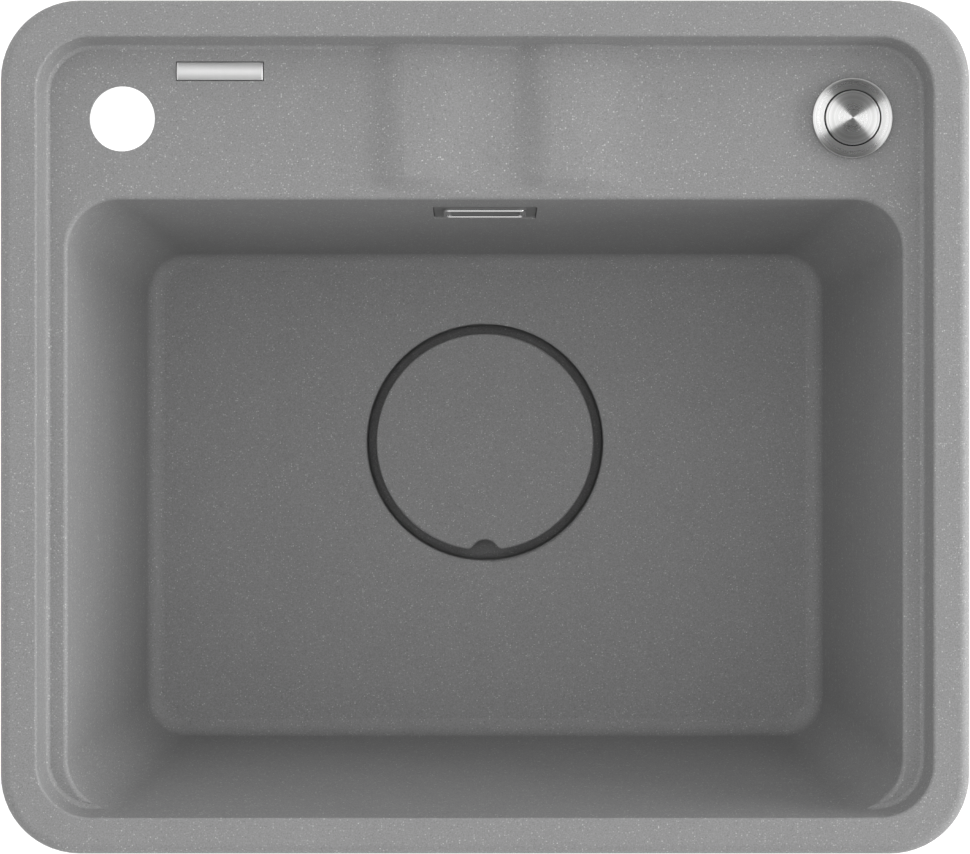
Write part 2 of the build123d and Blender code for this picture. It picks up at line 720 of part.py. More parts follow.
def plug_seal_ring():
    """Round seal let half its thickness into the plug's underside, just clear of the seat."""
    slope = (cup_r - CUP_WALL - SEAT_R) / SEAT_HEIGHT
    reach = (PLUG_SEAL_R + SLIDE_FIT) * math.sqrt(1 + slope ** 2)
    seat_r = SEAT_R + (plug_under_z - seat_low_z) * slope
    return Pos(0, 0, plug_under_z) * Torus(seat_r - reach, PLUG_SEAL_R)


def make_lever():
    """Lever arm inside the waste body, from its hub to the round tip under the lift pin."""
    across = Rot(0, 90, 0)
    half = LEVER_WIDTH / 2
    depth = (-LEVER_THICKNESS / 2, LEVER_THICKNESS / 2)
    lever = block((-half, half), (0, LEVER_ARM), depth)
    lever += across * rod(LEVER_TIP_R, -half, half)
    hub = half + LEVER_HUB_PROUD
    lever += Pos(0, LEVER_ARM, 0) * across * rod(LEVER_HUB_R, -hub, hub)
    lever -= Pos(0, LEVER_ARM, 0) * across * rod(SHAFT_R, -LEVER_ARM, LEVER_ARM)
    return Pos(0, DRAIN_Y, lever_z) * lever


def on_shaft(shape):
    """Shape about Z laid along the lever shaft."""
    return Pos(0, lever_y, lever_z) * Rot(0, 90, 0) * shape


def make_crank():
    """Crank on the outer end of the lever shaft; the cable pulls its top."""
    low = crank_x() - CRANK_THICKNESS / 2
    high = low + CRANK_THICKNESS
    crank = rod(LEVER_HUB_R, low, high)
    crank += block((-CRANK_REACH, 0), (-LEVER_TIP_R, LEVER_TIP_R), (low, high))
    crank += Pos(-CRANK_REACH, 0, 0) * rod(LEVER_TIP_R, low, high)
    crank -= rod(SHAFT_R, low - OVERCUT, high + OVERCUT)
    crank -= Pos(-CRANK_REACH, 0, 0) * rod(GLAND_BORE_R, low - OVERCUT, high + OVERCUT)
    return on_shaft(crank)


def sleeve_outline(grow):
    """Outline of the overflow ring's sleeve, widened by a clearance."""
    length = RING_LENGTH - 2 * RING_BAR
    height = RING_HEIGHT - 2 * RING_BAR
    corner = RING_CORNER_R - RING_BAR + grow
    return RectangleRounded(length + 2 * grow, height + 2 * grow, corner)


def screw_places():
    return [Pos(-SCREW_OFFSET, 0), Pos(SCREW_OFFSET, 0)]


def make_overflow_plate():
    """Dark plate at the back of the niche, with two bosses that reach through the wall."""
    width = NICHE_WIDTH - 2 * PLATE_GAP
    height = NICHE_HEIGHT - 2 * PLATE_GAP
    corner = NICHE_CORNER_R - PLATE_GAP
    plate = on_wall(RectangleRounded(width, height, corner), -NICHE_DEPTH, PLATE_THICKNESS - NICHE_DEPTH)
    plate -= on_wall(sleeve_outline(LOOSE_FIT), -BOWL_WALL, BOWL_WALL)
    for place in screw_places():
        plate += on_wall(place * Circle(SCREW_BOSS_R), -wall_normal, -NICHE_DEPTH)
        plate -= on_wall(place * Circle(SCREW_R), -BOWL_WALL - OVERCUT, -NICHE_DEPTH)
    return plate


def make_overflow_ring():
    """Bright frame round the overflow slot, bevelled in and out, with a thin sleeve through the wall."""
    seat = PLATE_THICKNESS - NICHE_DEPTH
    outer = (RING_LENGTH, RING_HEIGHT, RING_CORNER_R)
    bar = RING_BAR + SLEEVE_WALL
    opening = (RING_LENGTH - 2 * bar, RING_HEIGHT - 2 * bar, RING_CORNER_R - bar)
    frame = bevelled(outer, -RING_BEVEL, seat) - bevelled(opening, RING_BEVEL, seat)
    frame += on_wall(sleeve_outline(0) - sleeve_outline(-SLEEVE_WALL), -wall_normal - OVERFLOW_GASKET, seat)
    return frame


def bevelled(outline, grow, seat):
    """Rounded rectangle (length, height, corner) on the plate, grown or shrunk towards the bowl."""
    length, height, corner = outline
    base = Pos(0, 0, seat) * RectangleRounded(length, height, corner)
    front = Pos(0, 0, RING_PROUD) * RectangleRounded(length + 2 * grow, height + 2 * grow, corner + grow)
    return overflow_plane() * loft([base, front], ruled=True)


def elbow_faces():
    """Depths behind the wall: gasket's back, flange's back and the elbow's back."""
    front = -wall_normal - OVERFLOW_GASKET
    flange = front - ELBOW_FLANGE
    return front, flange, flange - ELBOW_DEPTH


def make_overflow_gasket():
    front = elbow_faces()[0]
    outline = RectangleRounded(ELBOW_FLANGE_WIDTH, ELBOW_FLANGE_HEIGHT, NICHE_CORNER_R)
    gasket = on_wall(outline, front, -wall_normal)
    gasket -= on_wall(sleeve_outline(LOOSE_FIT), 2 * front, 0)
    for place in screw_places():
        gasket -= on_wall(place * Circle(SCREW_R + LOOSE_FIT), 2 * front, 0)
    return gasket


def pipe_axis_y():
    """Distance of the overflow pipe's upright run behind the sink's centre."""
    flange, back = elbow_faces()[1:]
    middle = overflow_plane() * Pos(0, 0, (flange + back) / 2)
    return middle.position.Y


def elbow_mouth_z():
    return overflow_z - ELBOW_FLANGE_HEIGHT / 2 - SOCKET_LENGTH


def elbow_mouth():
    """Mouth of the socket under the overflow elbow, facing down."""
    return Pos(0, pipe_axis_y(), elbow_mouth_z()) * Rot(180, 0, 0)


def make_overflow_elbow():
    """Box behind the wall that takes the overflow's water down into the pipe."""
    front, flange, back = elbow_faces()
    outline = RectangleRounded(ELBOW_FLANGE_WIDTH, ELBOW_FLANGE_HEIGHT, NICHE_CORNER_R)
    elbow = on_wall(outline, flange, front)
    elbow += on_wall(RectangleRounded(ELBOW_WIDTH, ELBOW_FLANGE_HEIGHT, NICHE_CORNER_R), back, flange)
    elbow += elbow_mouth() * socket(ELBOW_FLANGE_HEIGHT / 4)
    inside = Rectangle(ELBOW_WIDTH - 2 * ELBOW_WALL, ELBOW_FLANGE_HEIGHT - 2 * ELBOW_WALL)
    elbow -= on_wall(inside, back + ELBOW_WALL, front)
    elbow -= elbow_mouth() * socket_bore(ELBOW_FLANGE_HEIGHT / 4)
    for place in screw_places():
        elbow -= on_wall(place * Circle(SCREW_R + LOOSE_FIT), flange - OVERCUT, front + OVERCUT)
    return elbow


def make_overflow_screws():
    """Two screws that draw the elbow and the plate together through the wall."""
    flange = elbow_faces()[1]
    screws = []
    for place in screw_places():
        shank = on_wall(place * Circle(SCREW_R), flange, -NICHE_DEPTH - SCREW_END_GAP)
        head = on_wall(place * Circle(SCREW_HEAD_R), flange - SCREW_HEAD, flange)
        screws.append(shank + head)
    return group(screws)


def make_overflow_pipe():
    """Rigid pipe: straight down behind the bowl, one bend, then forward into the waste body."""
    y = pipe_axis_y()
    top = elbow_mouth_z() + SOCKET_LENGTH
    end = DRAIN_Y + chamber_out_r + INLET_REACH
    path = FilletPolyline((0, y, top), (0, y, inlet_z), (0, end, inlet_z), radius=PIPE_BEND_R)
    section = Plane(origin=(0, y, top), z_dir=(0, 0, -1)) * (Circle(PIPE_R) - Circle(pipe_bore_r))
    return sweep(section, path=path)


def pipe_ends():
    """Mouths of the two sockets that the overflow pipe goes into."""
    return [elbow_mouth(), Pos(0, DRAIN_Y, 0) * inlet_place()]


def make_pipe_nuts():
    nut = turned(
        (SOCKET_R + RUNNING_FIT, -PIPE_NUT_GRIP),
        (PIPE_NUT_R, -PIPE_NUT_GRIP),
        (PIPE_NUT_R, PIPE_SEAL + PIPE_NUT_LIP),
        (PIPE_R + LOOSE_FIT, PIPE_SEAL + PIPE_NUT_LIP),
        (PIPE_R + LOOSE_FIT, PIPE_SEAL),
        (SOCKET_R + RUNNING_FIT, PIPE_SEAL),
    )
    return group([place * nut for place in pipe_ends()])


def make_pipe_seals():
    seal = ring(PIPE_R, SOCKET_R, 0, PIPE_SEAL)
    return group([place * seal for place in pipe_ends()])


def at_control(shape):
    return Pos(control_x, hole_y, 0) * shape


def make_control_ring():
    """Turned steel collar on the deck, stepped below to sit on the sleeve."""
    collar = turned(
        (CONTROL_RING_R, gasket_top_z),
        (CONTROL_RING_R, ring_top_z - CONTROL_BEVEL),
        (CONTROL_RING_R - CONTROL_BEVEL, ring_top_z),
        (sleeve_bore_r + CONTROL_BEVEL / 2, ring_top_z),
        (sleeve_bore_r, ring_top_z - CONTROL_BEVEL / 2),
        (sleeve_bore_r, sleeve_top_z),
        (SLEEVE_R + RUNNING_FIT, sleeve_top_z),
        (SLEEVE_R + RUNNING_FIT, gasket_top_z),
    )
    return at_control(collar)


def make_control_sleeve():
    """Threaded sleeve through the deck, with the spring's floor and the cable housing below."""
    floor_low = spring_floor_z - HOUSING_WALL
    bore_r = HOUSING_R - HOUSING_WALL
    stem_r = PLUNGER_R + RUNNING_FIT
    sleeve = turned(
        (sleeve_bore_r, sleeve_top_z),
        (SLEEVE_R, sleeve_top_z),
        (SLEEVE_R, floor_low),
        (HOUSING_R, floor_low),
        (HOUSING_R, housing_low_z - HOUSING_WALL),
        (GLAND_R + RUNNING_FIT, housing_low_z - HOUSING_WALL),
        (GLAND_R + RUNNING_FIT, housing_low_z),
        (bore_r, housing_low_z),
        (bore_r, floor_low),
        (stem_r, floor_low),
        (stem_r, spring_floor_z),
        (sleeve_bore_r, spring_floor_z),
    )
    return at_control(sleeve)


def make_button():
    """Turned steel button with a fine bevel round its top."""
    bevel = CONTROL_BEVEL / 2
    button = turned(
        (0, button_under_z),
        (BUTTON_R, button_under_z),
        (BUTTON_R, button_top_z - bevel),
        (BUTTON_R - bevel, button_top_z),
        (0, button_top_z),
    )
    return at_control(button)


def make_spring():
    """Coil spring between the sleeve's floor and the button."""
    rise = SPRING_SPACE - 2 * SPRING_WIRE_R - 2 * RUNNING_FIT
    path = Helix(pitch=rise / SPRING_TURNS, height=rise, radius=SPRING_R)
    wire = Plane(origin=path @ 0, z_dir=path % 0) * Circle(SPRING_WIRE_R)
    coil = sweep(wire, path=path, is_frenet=True)
    return at_control(Pos(0, 0, spring_floor_z + SPRING_WIRE_R + RUNNING_FIT) * coil)


def make_control_nut():
    """Six-sided nut under the deck."""
    high = deck_under_z - WASHER_THICKNESS
    outline = RegularPolygon(NUT_ACROSS_CORNERS / 2, 6) - Circle(SLEEVE_R + RUNNING_FIT)
    return at_control(Pos(0, 0, high - NUT_HEIGHT) * extrude(outline, NUT_HEIGHT))


def clip_places():
    """Clip screws: two at each side and two at the back, each turned to face outwards."""
    places = []
    side_x = tray_x - CLIP_INSET
    back_y = tray_y - CLIP_INSET
    for y in (CLIP_SIDE_Y - CLIP_SIDE_SPACING / 2, CLIP_SIDE_Y + CLIP_SIDE_SPACING / 2):
        places.append(Pos(side_x, y, 0))
        places.append(Pos(-side_x, y, 0) * Rot(0, 0, 180))
    for x in (-CLIP_BACK_SPACING / 2, CLIP_BACK_SPACING / 2):
        places.append(Pos(x, back_y, 0) * Rot(0, 0, 90))
    return places


def make_jaw():
    """Steel jaw: a flat strip with a hole for its screw and a tooth turned up under the worktop."""
    half = CLIP_WIDTH / 2
    low = jaw_top_z - CLIP_THICKNESS
    jaw = block((-CLIP_HEEL, CLIP_REACH), (-half, half), (low, jaw_top_z))
    tooth_x = (CLIP_REACH - CLIP_THICKNESS, CLIP_REACH)
    jaw += block(tooth_x, (-half, half), (jaw_top_z, jaw_top_z + CLIP_TOOTH))
    return jaw - rod(CLIP_SCREW_R + RUNNING_FIT, low - OVERCUT, jaw_top_z + OVERCUT)


def make_clip_screws():
    under = jaw_top_z - CLIP_THICKNESS
    top = deck_under_z + INSERT_DEPTH
    screw = rod(CLIP_SCREW_R, under, top) + rod(CLIP_HEAD_R, under - CLIP_HEAD, under)
    return group([place * screw for place in clip_places()])


def make_clip_sleeves():
    """Spacer round each screw, from the sink's underside down to the jaw."""
    sleeve = ring(CLIP_SCREW_R + LOOSE_FIT, CLIP_SLEEVE_R, jaw_top_z, deck_under_z)
    return group([place * sleeve for place in clip_places()])


def make_clip_inserts():
    """Brass inserts moulded into the stone for the clip screws."""
    insert = ring(CLIP_SCREW_R, INSERT_R, deck_under_z, deck_under_z + INSERT_DEPTH)
    return group([place * insert for place in clip_places()])


def at_drain(shape):
    return Pos(0, DRAIN_Y, 0) * shape


def write_sink_and_trim():
    save(make_basin(), "basin")
    save(seal_ring(SEAL_DEPTH, LOOSE_FIT), "rim_seal")
    pad_size = Rectangle(BAR_LENGTH, BAR_WIDTH)
    save(bar_place(deck_z - BAR_POCKET) * extrude(pad_size, PAD_THICKNESS), "bar_pad")
    save(make_bar(), "deck_bar")
    save(make_cover(), "drain_cover")
    save(make_feet(), "cover_feet")


def write_waste():
    save(make_cup(), "waste_cup")
    save(at_drain(ring(DRAIN_HOLE_R, FLANGE_R - GASKET_INSET, well_z, flange_z)), "flange_gasket")
    body_gasket_r = BODY_FLANGE_R - GASKET_INSET
    save(at_drain(ring(DRAIN_HOLE_R, body_gasket_r, body_top_z, sink_under_z)), "body_gasket")
    save(make_waste_body(), "waste_body")
    save(make_bolt(), "clamp_bolt")
    save(make_plug(), "plug")
    save(at_drain(plug_seal_ring()), "plug_seal")
    save(at_drain(rod(PIN_R, pin_low_z, pin_top_z)), "lift_pin")
    save(make_lever(), "lift_lever")
    face = bearing_face()
    shaft_end = crank_x() + CRANK_THICKNESS / 2
    save(on_shaft(rod(SHAFT_R, -face + BEARING_WALL + SHAFT_END_GAP, shaft_end)), "lever_shaft")
    seal_r = BEARING_R - BEARING_WALL
    save(on_shaft(ring(SHAFT_R + RUNNING_FIT, seal_r, face - SHAFT_SEAL, face)), "shaft_seal")
    save(on_shaft(ring(SHAFT_R + RUNNING_FIT, BEARING_R, face, face + SHAFT_CAP)), "shaft_cap")
    save(make_crank(), "cable_crank")
    save(at_drain(gland_spot() * make_gland()), "waste_gland")


def write_overflow():
    save(make_overflow_plate(), "overflow_plate")
    save(make_overflow_ring(), "overflow_ring")
    save(make_overflow_gasket(), "overflow_gasket")
    save(make_overflow_elbow(), "overflow_elbow")
    save(make_overflow_screws(), "overflow_screws")
    save(make_overflow_pipe(), "overflow_pipe")
    save(make_pipe_nuts(), "pipe_nuts")
    save(make_pipe_seals(), "pipe_seals")


def write_control():
    save(make_control_ring(), "control_ring")
    save(at_control(ring(HOLE_R, CONTROL_RING_R - CONTROL_BEVEL, deck_z, gasket_top_z)), "control_gasket")
    save(make_control_sleeve(), "control_sleeve")
    washer_z = deck_under_z - WASHER_THICKNESS
    save(at_control(ring(SLEEVE_R + RUNNING_FIT, WASHER_R, washer_z, deck_under_z)), "control_washer")
    save(make_control_nut(), "control_nut")
    gland = Pos(0, 0, housing_low_z - HOUSING_WALL) * Rot(180, 0, 0) * make_gland()
    save(at_control(gland), "control_gland")
    save(make_button(), "control_button")
    save(at_control(rod(PLUNGER_R, plunger_low_z, button_under_z)), "control_plunger")
    anchor = ring(GLAND_BORE_R, ANCHOR_R, plunger_low_z - ANCHOR_LENGTH, plunger_low_z)
    save(at_control(anchor), "cable_anchor")
    save(make_spring(), "control_spring")


def write_clips():
    for number, place in enumerate(clip_places(), start=1):
        save(place * make_jaw(), f"clip_jaw_{number}")
    save(make_clip_screws(), "clip_screws")
    save(make_clip_sleeves(), "clip_sleeves")
    save(make_clip_inserts(), "clip_inserts")


os.makedirs("parts", exist_ok=True)
write_sink_and_trim()
write_waste()
write_overflow()
write_control()
write_clips()
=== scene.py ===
# %% [markdown]
# # A granite sink, dressed for the camera
# The model arrives as separate CAD pieces that already have their real size and place. This lesson
# keeps every shape that is right, swaps a few plain ones for richer meshes, and gives each surface
# a finish made only of nodes. Lengths are in metres. Z is up, the worktop is at zero, the tap side
# of the sink points to +Y.

# %% Load the frame
import json
import math

import bmesh
import bpy
import numpy as np
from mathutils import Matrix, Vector


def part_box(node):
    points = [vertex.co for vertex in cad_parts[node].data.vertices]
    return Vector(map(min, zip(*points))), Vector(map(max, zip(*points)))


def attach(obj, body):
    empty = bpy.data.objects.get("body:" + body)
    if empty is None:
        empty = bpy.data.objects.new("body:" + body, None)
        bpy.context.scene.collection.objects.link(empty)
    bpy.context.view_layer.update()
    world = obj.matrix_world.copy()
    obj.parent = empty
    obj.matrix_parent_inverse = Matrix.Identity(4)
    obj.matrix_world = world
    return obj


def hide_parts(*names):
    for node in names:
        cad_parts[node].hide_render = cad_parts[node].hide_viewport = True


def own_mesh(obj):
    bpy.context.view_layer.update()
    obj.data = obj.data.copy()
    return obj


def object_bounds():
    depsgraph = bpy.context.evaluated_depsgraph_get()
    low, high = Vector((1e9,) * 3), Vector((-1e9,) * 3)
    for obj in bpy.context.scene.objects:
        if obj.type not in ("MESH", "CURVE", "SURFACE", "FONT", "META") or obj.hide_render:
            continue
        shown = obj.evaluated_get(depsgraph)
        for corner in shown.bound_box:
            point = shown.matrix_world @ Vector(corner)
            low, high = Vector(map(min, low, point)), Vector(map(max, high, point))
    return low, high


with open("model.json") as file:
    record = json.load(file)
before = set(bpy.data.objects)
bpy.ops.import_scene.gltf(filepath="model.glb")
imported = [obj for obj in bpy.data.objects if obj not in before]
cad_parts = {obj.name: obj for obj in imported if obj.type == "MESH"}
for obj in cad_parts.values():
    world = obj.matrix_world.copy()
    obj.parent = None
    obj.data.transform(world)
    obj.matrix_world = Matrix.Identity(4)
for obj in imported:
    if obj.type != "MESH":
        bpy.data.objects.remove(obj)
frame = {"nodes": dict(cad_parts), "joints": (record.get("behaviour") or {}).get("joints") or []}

NODES = frame["nodes"]
cad_low, cad_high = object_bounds()
print("CAD pieces:", len(NODES), "box:", [round(v, 4) for v in (*cad_low, *cad_high)])

# %% [markdown]
# ## From arrays to a mesh
# Most fittings of a sink are turned, moulded round a ring, or cut as a thread. All of these are one
# idea: a profile carried along a path, which is a grid of points. Modelling tools could make each
# by hand, but an array formula states the shape exactly, so one helper turns any grid into a mesh.

# %% Grid of points to a mesh object
MERGE_DISTANCE = 2e-6
SHARP_ANGLE = math.radians(38)


def make_piece(name, *grids):
    """One mesh object from grids of points, each an array [row, column, xyz].

    Columns run round the shape and close on themselves. Rows run along it. Points that coincide,
    at a pole or where the last row meets the first, are merged, and the faces are turned outwards.
    """
    corners = []
    first = 0
    for grid in grids:
        rows, columns = grid.shape[:2]
        index = first + np.arange(rows * columns).reshape(rows, columns)
        beside = np.roll(index, -1, axis=1)
        faces = np.stack([index[:-1], beside[:-1], beside[1:], index[1:]], axis=-1)
        corners.append(faces.reshape(-1, 4))
        first += rows * columns
    points = np.concatenate([grid.reshape(-1, 3) for grid in grids])
    corners = np.concatenate(corners)
    mesh = bpy.data.meshes.new(name)
    mesh.vertices.add(len(points))
    mesh.vertices.foreach_set("co", points.ravel())
    mesh.loops.add(corners.size)
    mesh.loops.foreach_set("vertex_index", corners.ravel())
    mesh.polygons.add(len(corners))
    mesh.polygons.foreach_set("loop_start", np.arange(0, corners.size, 4))
    mesh.update(calc_edges=True)
    work = bmesh.new()
    work.from_mesh(mesh)
    bmesh.ops.remove_doubles(work, verts=work.verts, dist=MERGE_DISTANCE)
    bmesh.ops.dissolve_degenerate(work, edges=work.edges, dist=MERGE_DISTANCE)
    bmesh.ops.recalc_face_normals(work, faces=work.faces)
    work.to_mesh(mesh)
    work.free()
    mesh.polygons.foreach_set("use_smooth", np.ones(len(mesh.polygons), dtype=bool))
    mesh.set_sharp_from_angle(angle=SHARP_ANGLE)
    piece = bpy.data.objects.new(name, mesh)
    bpy.context.scene.collection.objects.link(piece)
    print(name, "faces:", len(mesh.polygons))
    return piece


# %% [markdown]
# ## Profiles with soft corners
# No real edge is perfectly sharp: a moulded nut has a small radius and a turned ring a fine bevel,
# and those edges catch the light. A Bevel modifier would do, but rounding the outline itself keeps
# the mesh light and the radius exact.

# %% Rounded outlines and placing
CORNER_STEPS = 5


def soften(outline, radius, closed=True):
    """Outline with an arc at every corner; an open one keeps its two end points.

    The arc leaves each side at radius / tan(half the corner's angle) from the corner. Its points
    swing from one tangent point to the other round the arc's centre, all corners at once.
    """
    corner = np.asarray(outline, dtype=float)
    radius = np.broadcast_to(np.asarray(radius, dtype=float), (len(corner),))[:, None]
    back = np.roll(corner, 1, axis=0) - corner
    ahead = np.roll(corner, -1, axis=0) - corner
    back /= np.linalg.norm(back, axis=1, keepdims=True)
    ahead /= np.linalg.norm(ahead, axis=1, keepdims=True)
    half = np.arccos(np.clip((back * ahead).sum(1, keepdims=True), -1, 1)) / 2
    middle = back + ahead
    middle /= np.linalg.norm(middle, axis=1, keepdims=True)
    centre = corner + middle * radius / np.sin(half)
    start = corner + back * radius / np.tan(half) - centre
    stop = corner + ahead * radius / np.tan(half) - centre
    swing = (np.pi - 2 * half)[:, None]
    share = np.linspace(0, 1, CORNER_STEPS)[None, :, None]
    arc = np.sin((1 - share) * swing) * start[:, None] + np.sin(share * swing) * stop[:, None]
    points = centre[:, None] + arc / np.sin(swing)
    if closed:
        return np.concatenate([points.reshape(-1, 2), points[:1, 0]])
    return np.concatenate([corner[:1], points[1:-1].reshape(-1, 2), corner[-1:]])


def turn(profile, count=96, ribs=0, depth=0.0, plain_radius=0.0):
    """Surface of revolution: every (radius, height) of the profile goes round Z in equal steps.

    With ribs, the radius also dips by depth between them, as half of 1 - cos(ribs x angle). The dip
    is full at the profile's outermost points and fades to nothing at plain_radius.
    """
    angle = np.linspace(0, 2 * np.pi, count, endpoint=False)
    radius, height = profile[:, :1], profile[:, 1:]
    share = np.clip((radius - plain_radius) / (radius.max() - plain_radius), 0, 1)
    radius = radius - depth * share * (1 - np.cos(ribs * angle)) / 2
    level = np.broadcast_to(height, radius.shape)
    return np.stack([radius * np.cos(angle), radius * np.sin(angle), level], axis=-1)


def place(grid, origin, up=(0, 0, 1), side=(1, 0, 0)):
    """Grid moved from its own axes to a place: its Z goes along up and its X along side."""
    up, side = Vector(up).normalized(), Vector(side).normalized()
    axes = np.array([side, up.cross(side), up])
    return grid @ axes + np.array(origin)


def box_of(node):
    """Lowest and highest corner of a CAD node as two arrays."""
    low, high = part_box(node)
    return np.array(low), np.array(high)


# %% [markdown]
# ## Shader helpers
# Each finish is a small network of nodes. Writing them with helpers keeps a material readable: one
# line per node, with its inputs named. Effects that several finishes share become node groups,
# which only hand out values that vary over the surface. What is constant is set on the shader.

# %% Nodes and groups
MIX_FIRST, MIX_SECOND, MIX_RESULT = 6, 7, 2


def add(tree, kind, inputs=None, **settings):
    """New node; inputs maps a socket's name or number to a value or to a socket that feeds it."""
    node = tree.nodes.new(kind)
    for name, value in settings.items():
        setattr(node, name, value)
    for key, value in (inputs or {}).items():
        if isinstance(value, bpy.types.NodeSocket):
            tree.links.new(value, node.inputs[key])
        else:
            node.inputs[key].default_value = value
    return node


def maths(tree, operation, first, second=0.0, third=0.0):
    """Output of a Math node."""
    inputs = {0: first, 1: second, 2: third}
    return add(tree, "ShaderNodeMath", inputs, operation=operation).outputs[0]


def vectors(tree, operation, first, second=(0, 0, 0)):
    """Output of a Vector Math node: a number for a length or a dot product, else a vector."""
    node = add(tree, "ShaderNodeVectorMath", {0: first, 1: second}, operation=operation)
    return node.outputs["Value" if operation in ("LENGTH", "DOT_PRODUCT") else "Vector"]


def remap(tree, value, low, high, to_low, to_high, smooth=False):
    """Output of a Map Range node."""
    inputs = {"Value": value, "From Min": low, "From Max": high,
              "To Min": to_low, "To Max": to_high}
    curve = "SMOOTHSTEP" if smooth else "LINEAR"
    return add(tree, "ShaderNodeMapRange", inputs, interpolation_type=curve).outputs["Result"]


def noise(tree, vector, scale, detail=2.0, roughness=0.5):
    """Value of a noise texture, near 0.5 on average."""
    inputs = {"Vector": vector, "Scale": scale, "Detail": detail, "Roughness": roughness}
    return add(tree, "ShaderNodeTexNoise", inputs).outputs["Fac"]


def new_group(name, inputs, outputs):
    """Empty node group with float or vector inputs; returns it, what it is given and its end."""
    tree = bpy.data.node_groups.new(name, "ShaderNodeTree")
    for label, value in inputs.items():
        kind = "NodeSocketVector" if value is None else "NodeSocketFloat"
        socket = tree.interface.new_socket(label, in_out="INPUT", socket_type=kind)
        if value is not None:
            socket.default_value = value
    for label in outputs:
        tree.interface.new_socket(label, in_out="OUTPUT", socket_type="NodeSocketFloat")
    return tree, tree.nodes.new("NodeGroupInput").outputs, tree.nodes.new("NodeGroupOutput")


def new_material(name, **sockets):
    """Material with a Principled shader, its constant sockets set, and its object coordinates."""
    material = bpy.data.materials.new(name)
    material.use_nodes = True
    tree = material.node_tree
    shader = tree.nodes["Principled BSDF"]
    for label, value in sockets.items():
        shader.inputs[label.replace("_", " ")].default_value = value
    coordinates = tree.nodes.new("ShaderNodeTexCoord").outputs["Object"]
    return material, tree, shader, coordinates


def use(tree, group, **inputs):
    """Place a node group in a material; returns its outputs."""
    named = {label.replace("_", " "): value for label, value in inputs.items()}
    return add(tree, "ShaderNodeGroup", named, node_tree=group).outputs


def grey(value):
    """Neutral colour."""
    return (value, value, value)


def mix(tree, factor, first, second):
    """Colour from first to second, each a colour or a socket, by a factor from 0 to 1."""
    inputs = {"Factor": factor}
    for number, colour in ((MIX_FIRST, first), (MIX_SECOND, second)):
        inputs[number] = (*colour, 1) if isinstance(colour, tuple) else colour
    return add(tree, "ShaderNodeMix", inputs, data_type="RGBA").outputs[MIX_RESULT]


def feed(tree, node, **values):
    """Link each value to the node's socket of that name."""
    for label, value in values.items():
        tree.links.new(value, node.inputs[label.replace("_", " ")])


def bump(tree, shader, height, depth, strength):
    """Feed a height, in parts of depth metres, to the shader's normal."""
    node = add(tree, "ShaderNodeBump", {"Height": height, "Distance": depth, "Strength": strength})
    feed(tree, shader, Normal=node.outputs["Normal"])


print("helpers ready")

# %% [markdown]
# ## Stone speckle
# Granite composite is quartz sand in coloured resin. Up close it is a fine field of grains, a few
# of them pale and a few dark, over a very slight cloudiness. An image of the stone would be quick
# but would stretch in the corners of the bowl. Cells of a 3-D Voronoi texture are solid grains, so
# the speckle runs through the stone and never stretches.

# %% Stone speckle group
def make_speckle():
    """Grains as 3-D cells: a cell's random numbers choose pale and dark grains of differing size.

    A slower noise gathers the pale grains in loose clumps, as stirred sand does.
    """
    tree, given, end = new_group(
        "stone_speckle",
        {"Vector": None, "Grains per metre": 900.0},
        ["Shade", "Pale", "Dark", "Height"],
    )
    vector, density = given["Vector"], given["Grains per metre"]
    cells = add(tree, "ShaderNodeTexVoronoi", {"Vector": vector, "Scale": density}).outputs
    chance = add(tree, "ShaderNodeSeparateColor", {"Color": cells["Color"]}).outputs
    reach = remap(tree, chance["Blue"], 0, 1, 0.30, 0.62)
    inner = maths(tree, "MULTIPLY", reach, 0.45)
    grain = remap(tree, cells["Distance"], reach, inner, 0, 1)
    clump = noise(tree, vector, maths(tree, "MULTIPLY", density, 0.22), 1.0)
    clump = remap(tree, clump, 0.35, 0.65, 0.35, 1.0)
    pale = maths(tree, "MULTIPLY", grain, remap(tree, chance["Red"], 0.78, 0.97, 0, 1))
    pale = maths(tree, "MULTIPLY", pale, clump)
    dark = maths(tree, "MULTIPLY", grain, remap(tree, chance["Green"], 0.22, 0.05, 0, 1))
    sand = noise(tree, vector, maths(tree, "MULTIPLY", density, 1.15), 2.0, 0.6)
    cloud = noise(tree, vector, 38.0, 3.0, 0.55)
    shade = maths(tree, "MULTIPLY_ADD", maths(tree, "SUBTRACT", sand, 0.5), 0.75, 1.0)
    shade = maths(tree, "MULTIPLY_ADD", maths(tree, "SUBTRACT", cloud, 0.5), 0.10, shade)
    height = maths(tree, "MULTIPLY_ADD", grain, 0.4, sand)
    feed(tree, end, Shade=shade, Pale=pale, Dark=dark, Height=height)
    return tree


STONE_SPECKLE = make_speckle()
print("group:", STONE_SPECKLE.name)

# %% [markdown]
# ## Spun rings, brushed lines and moulded skin
# Three more effects are shared. Turned steel carries concentric tool marks, rolled or sanded steel
# carries long straight scratches, and moulded plastic or rubber carries a faint spark-eroded skin.
# Each is noise, stretched in the direction of the mark: along the radius for rings, along X for
# brushing, and not at all for the moulded skin.

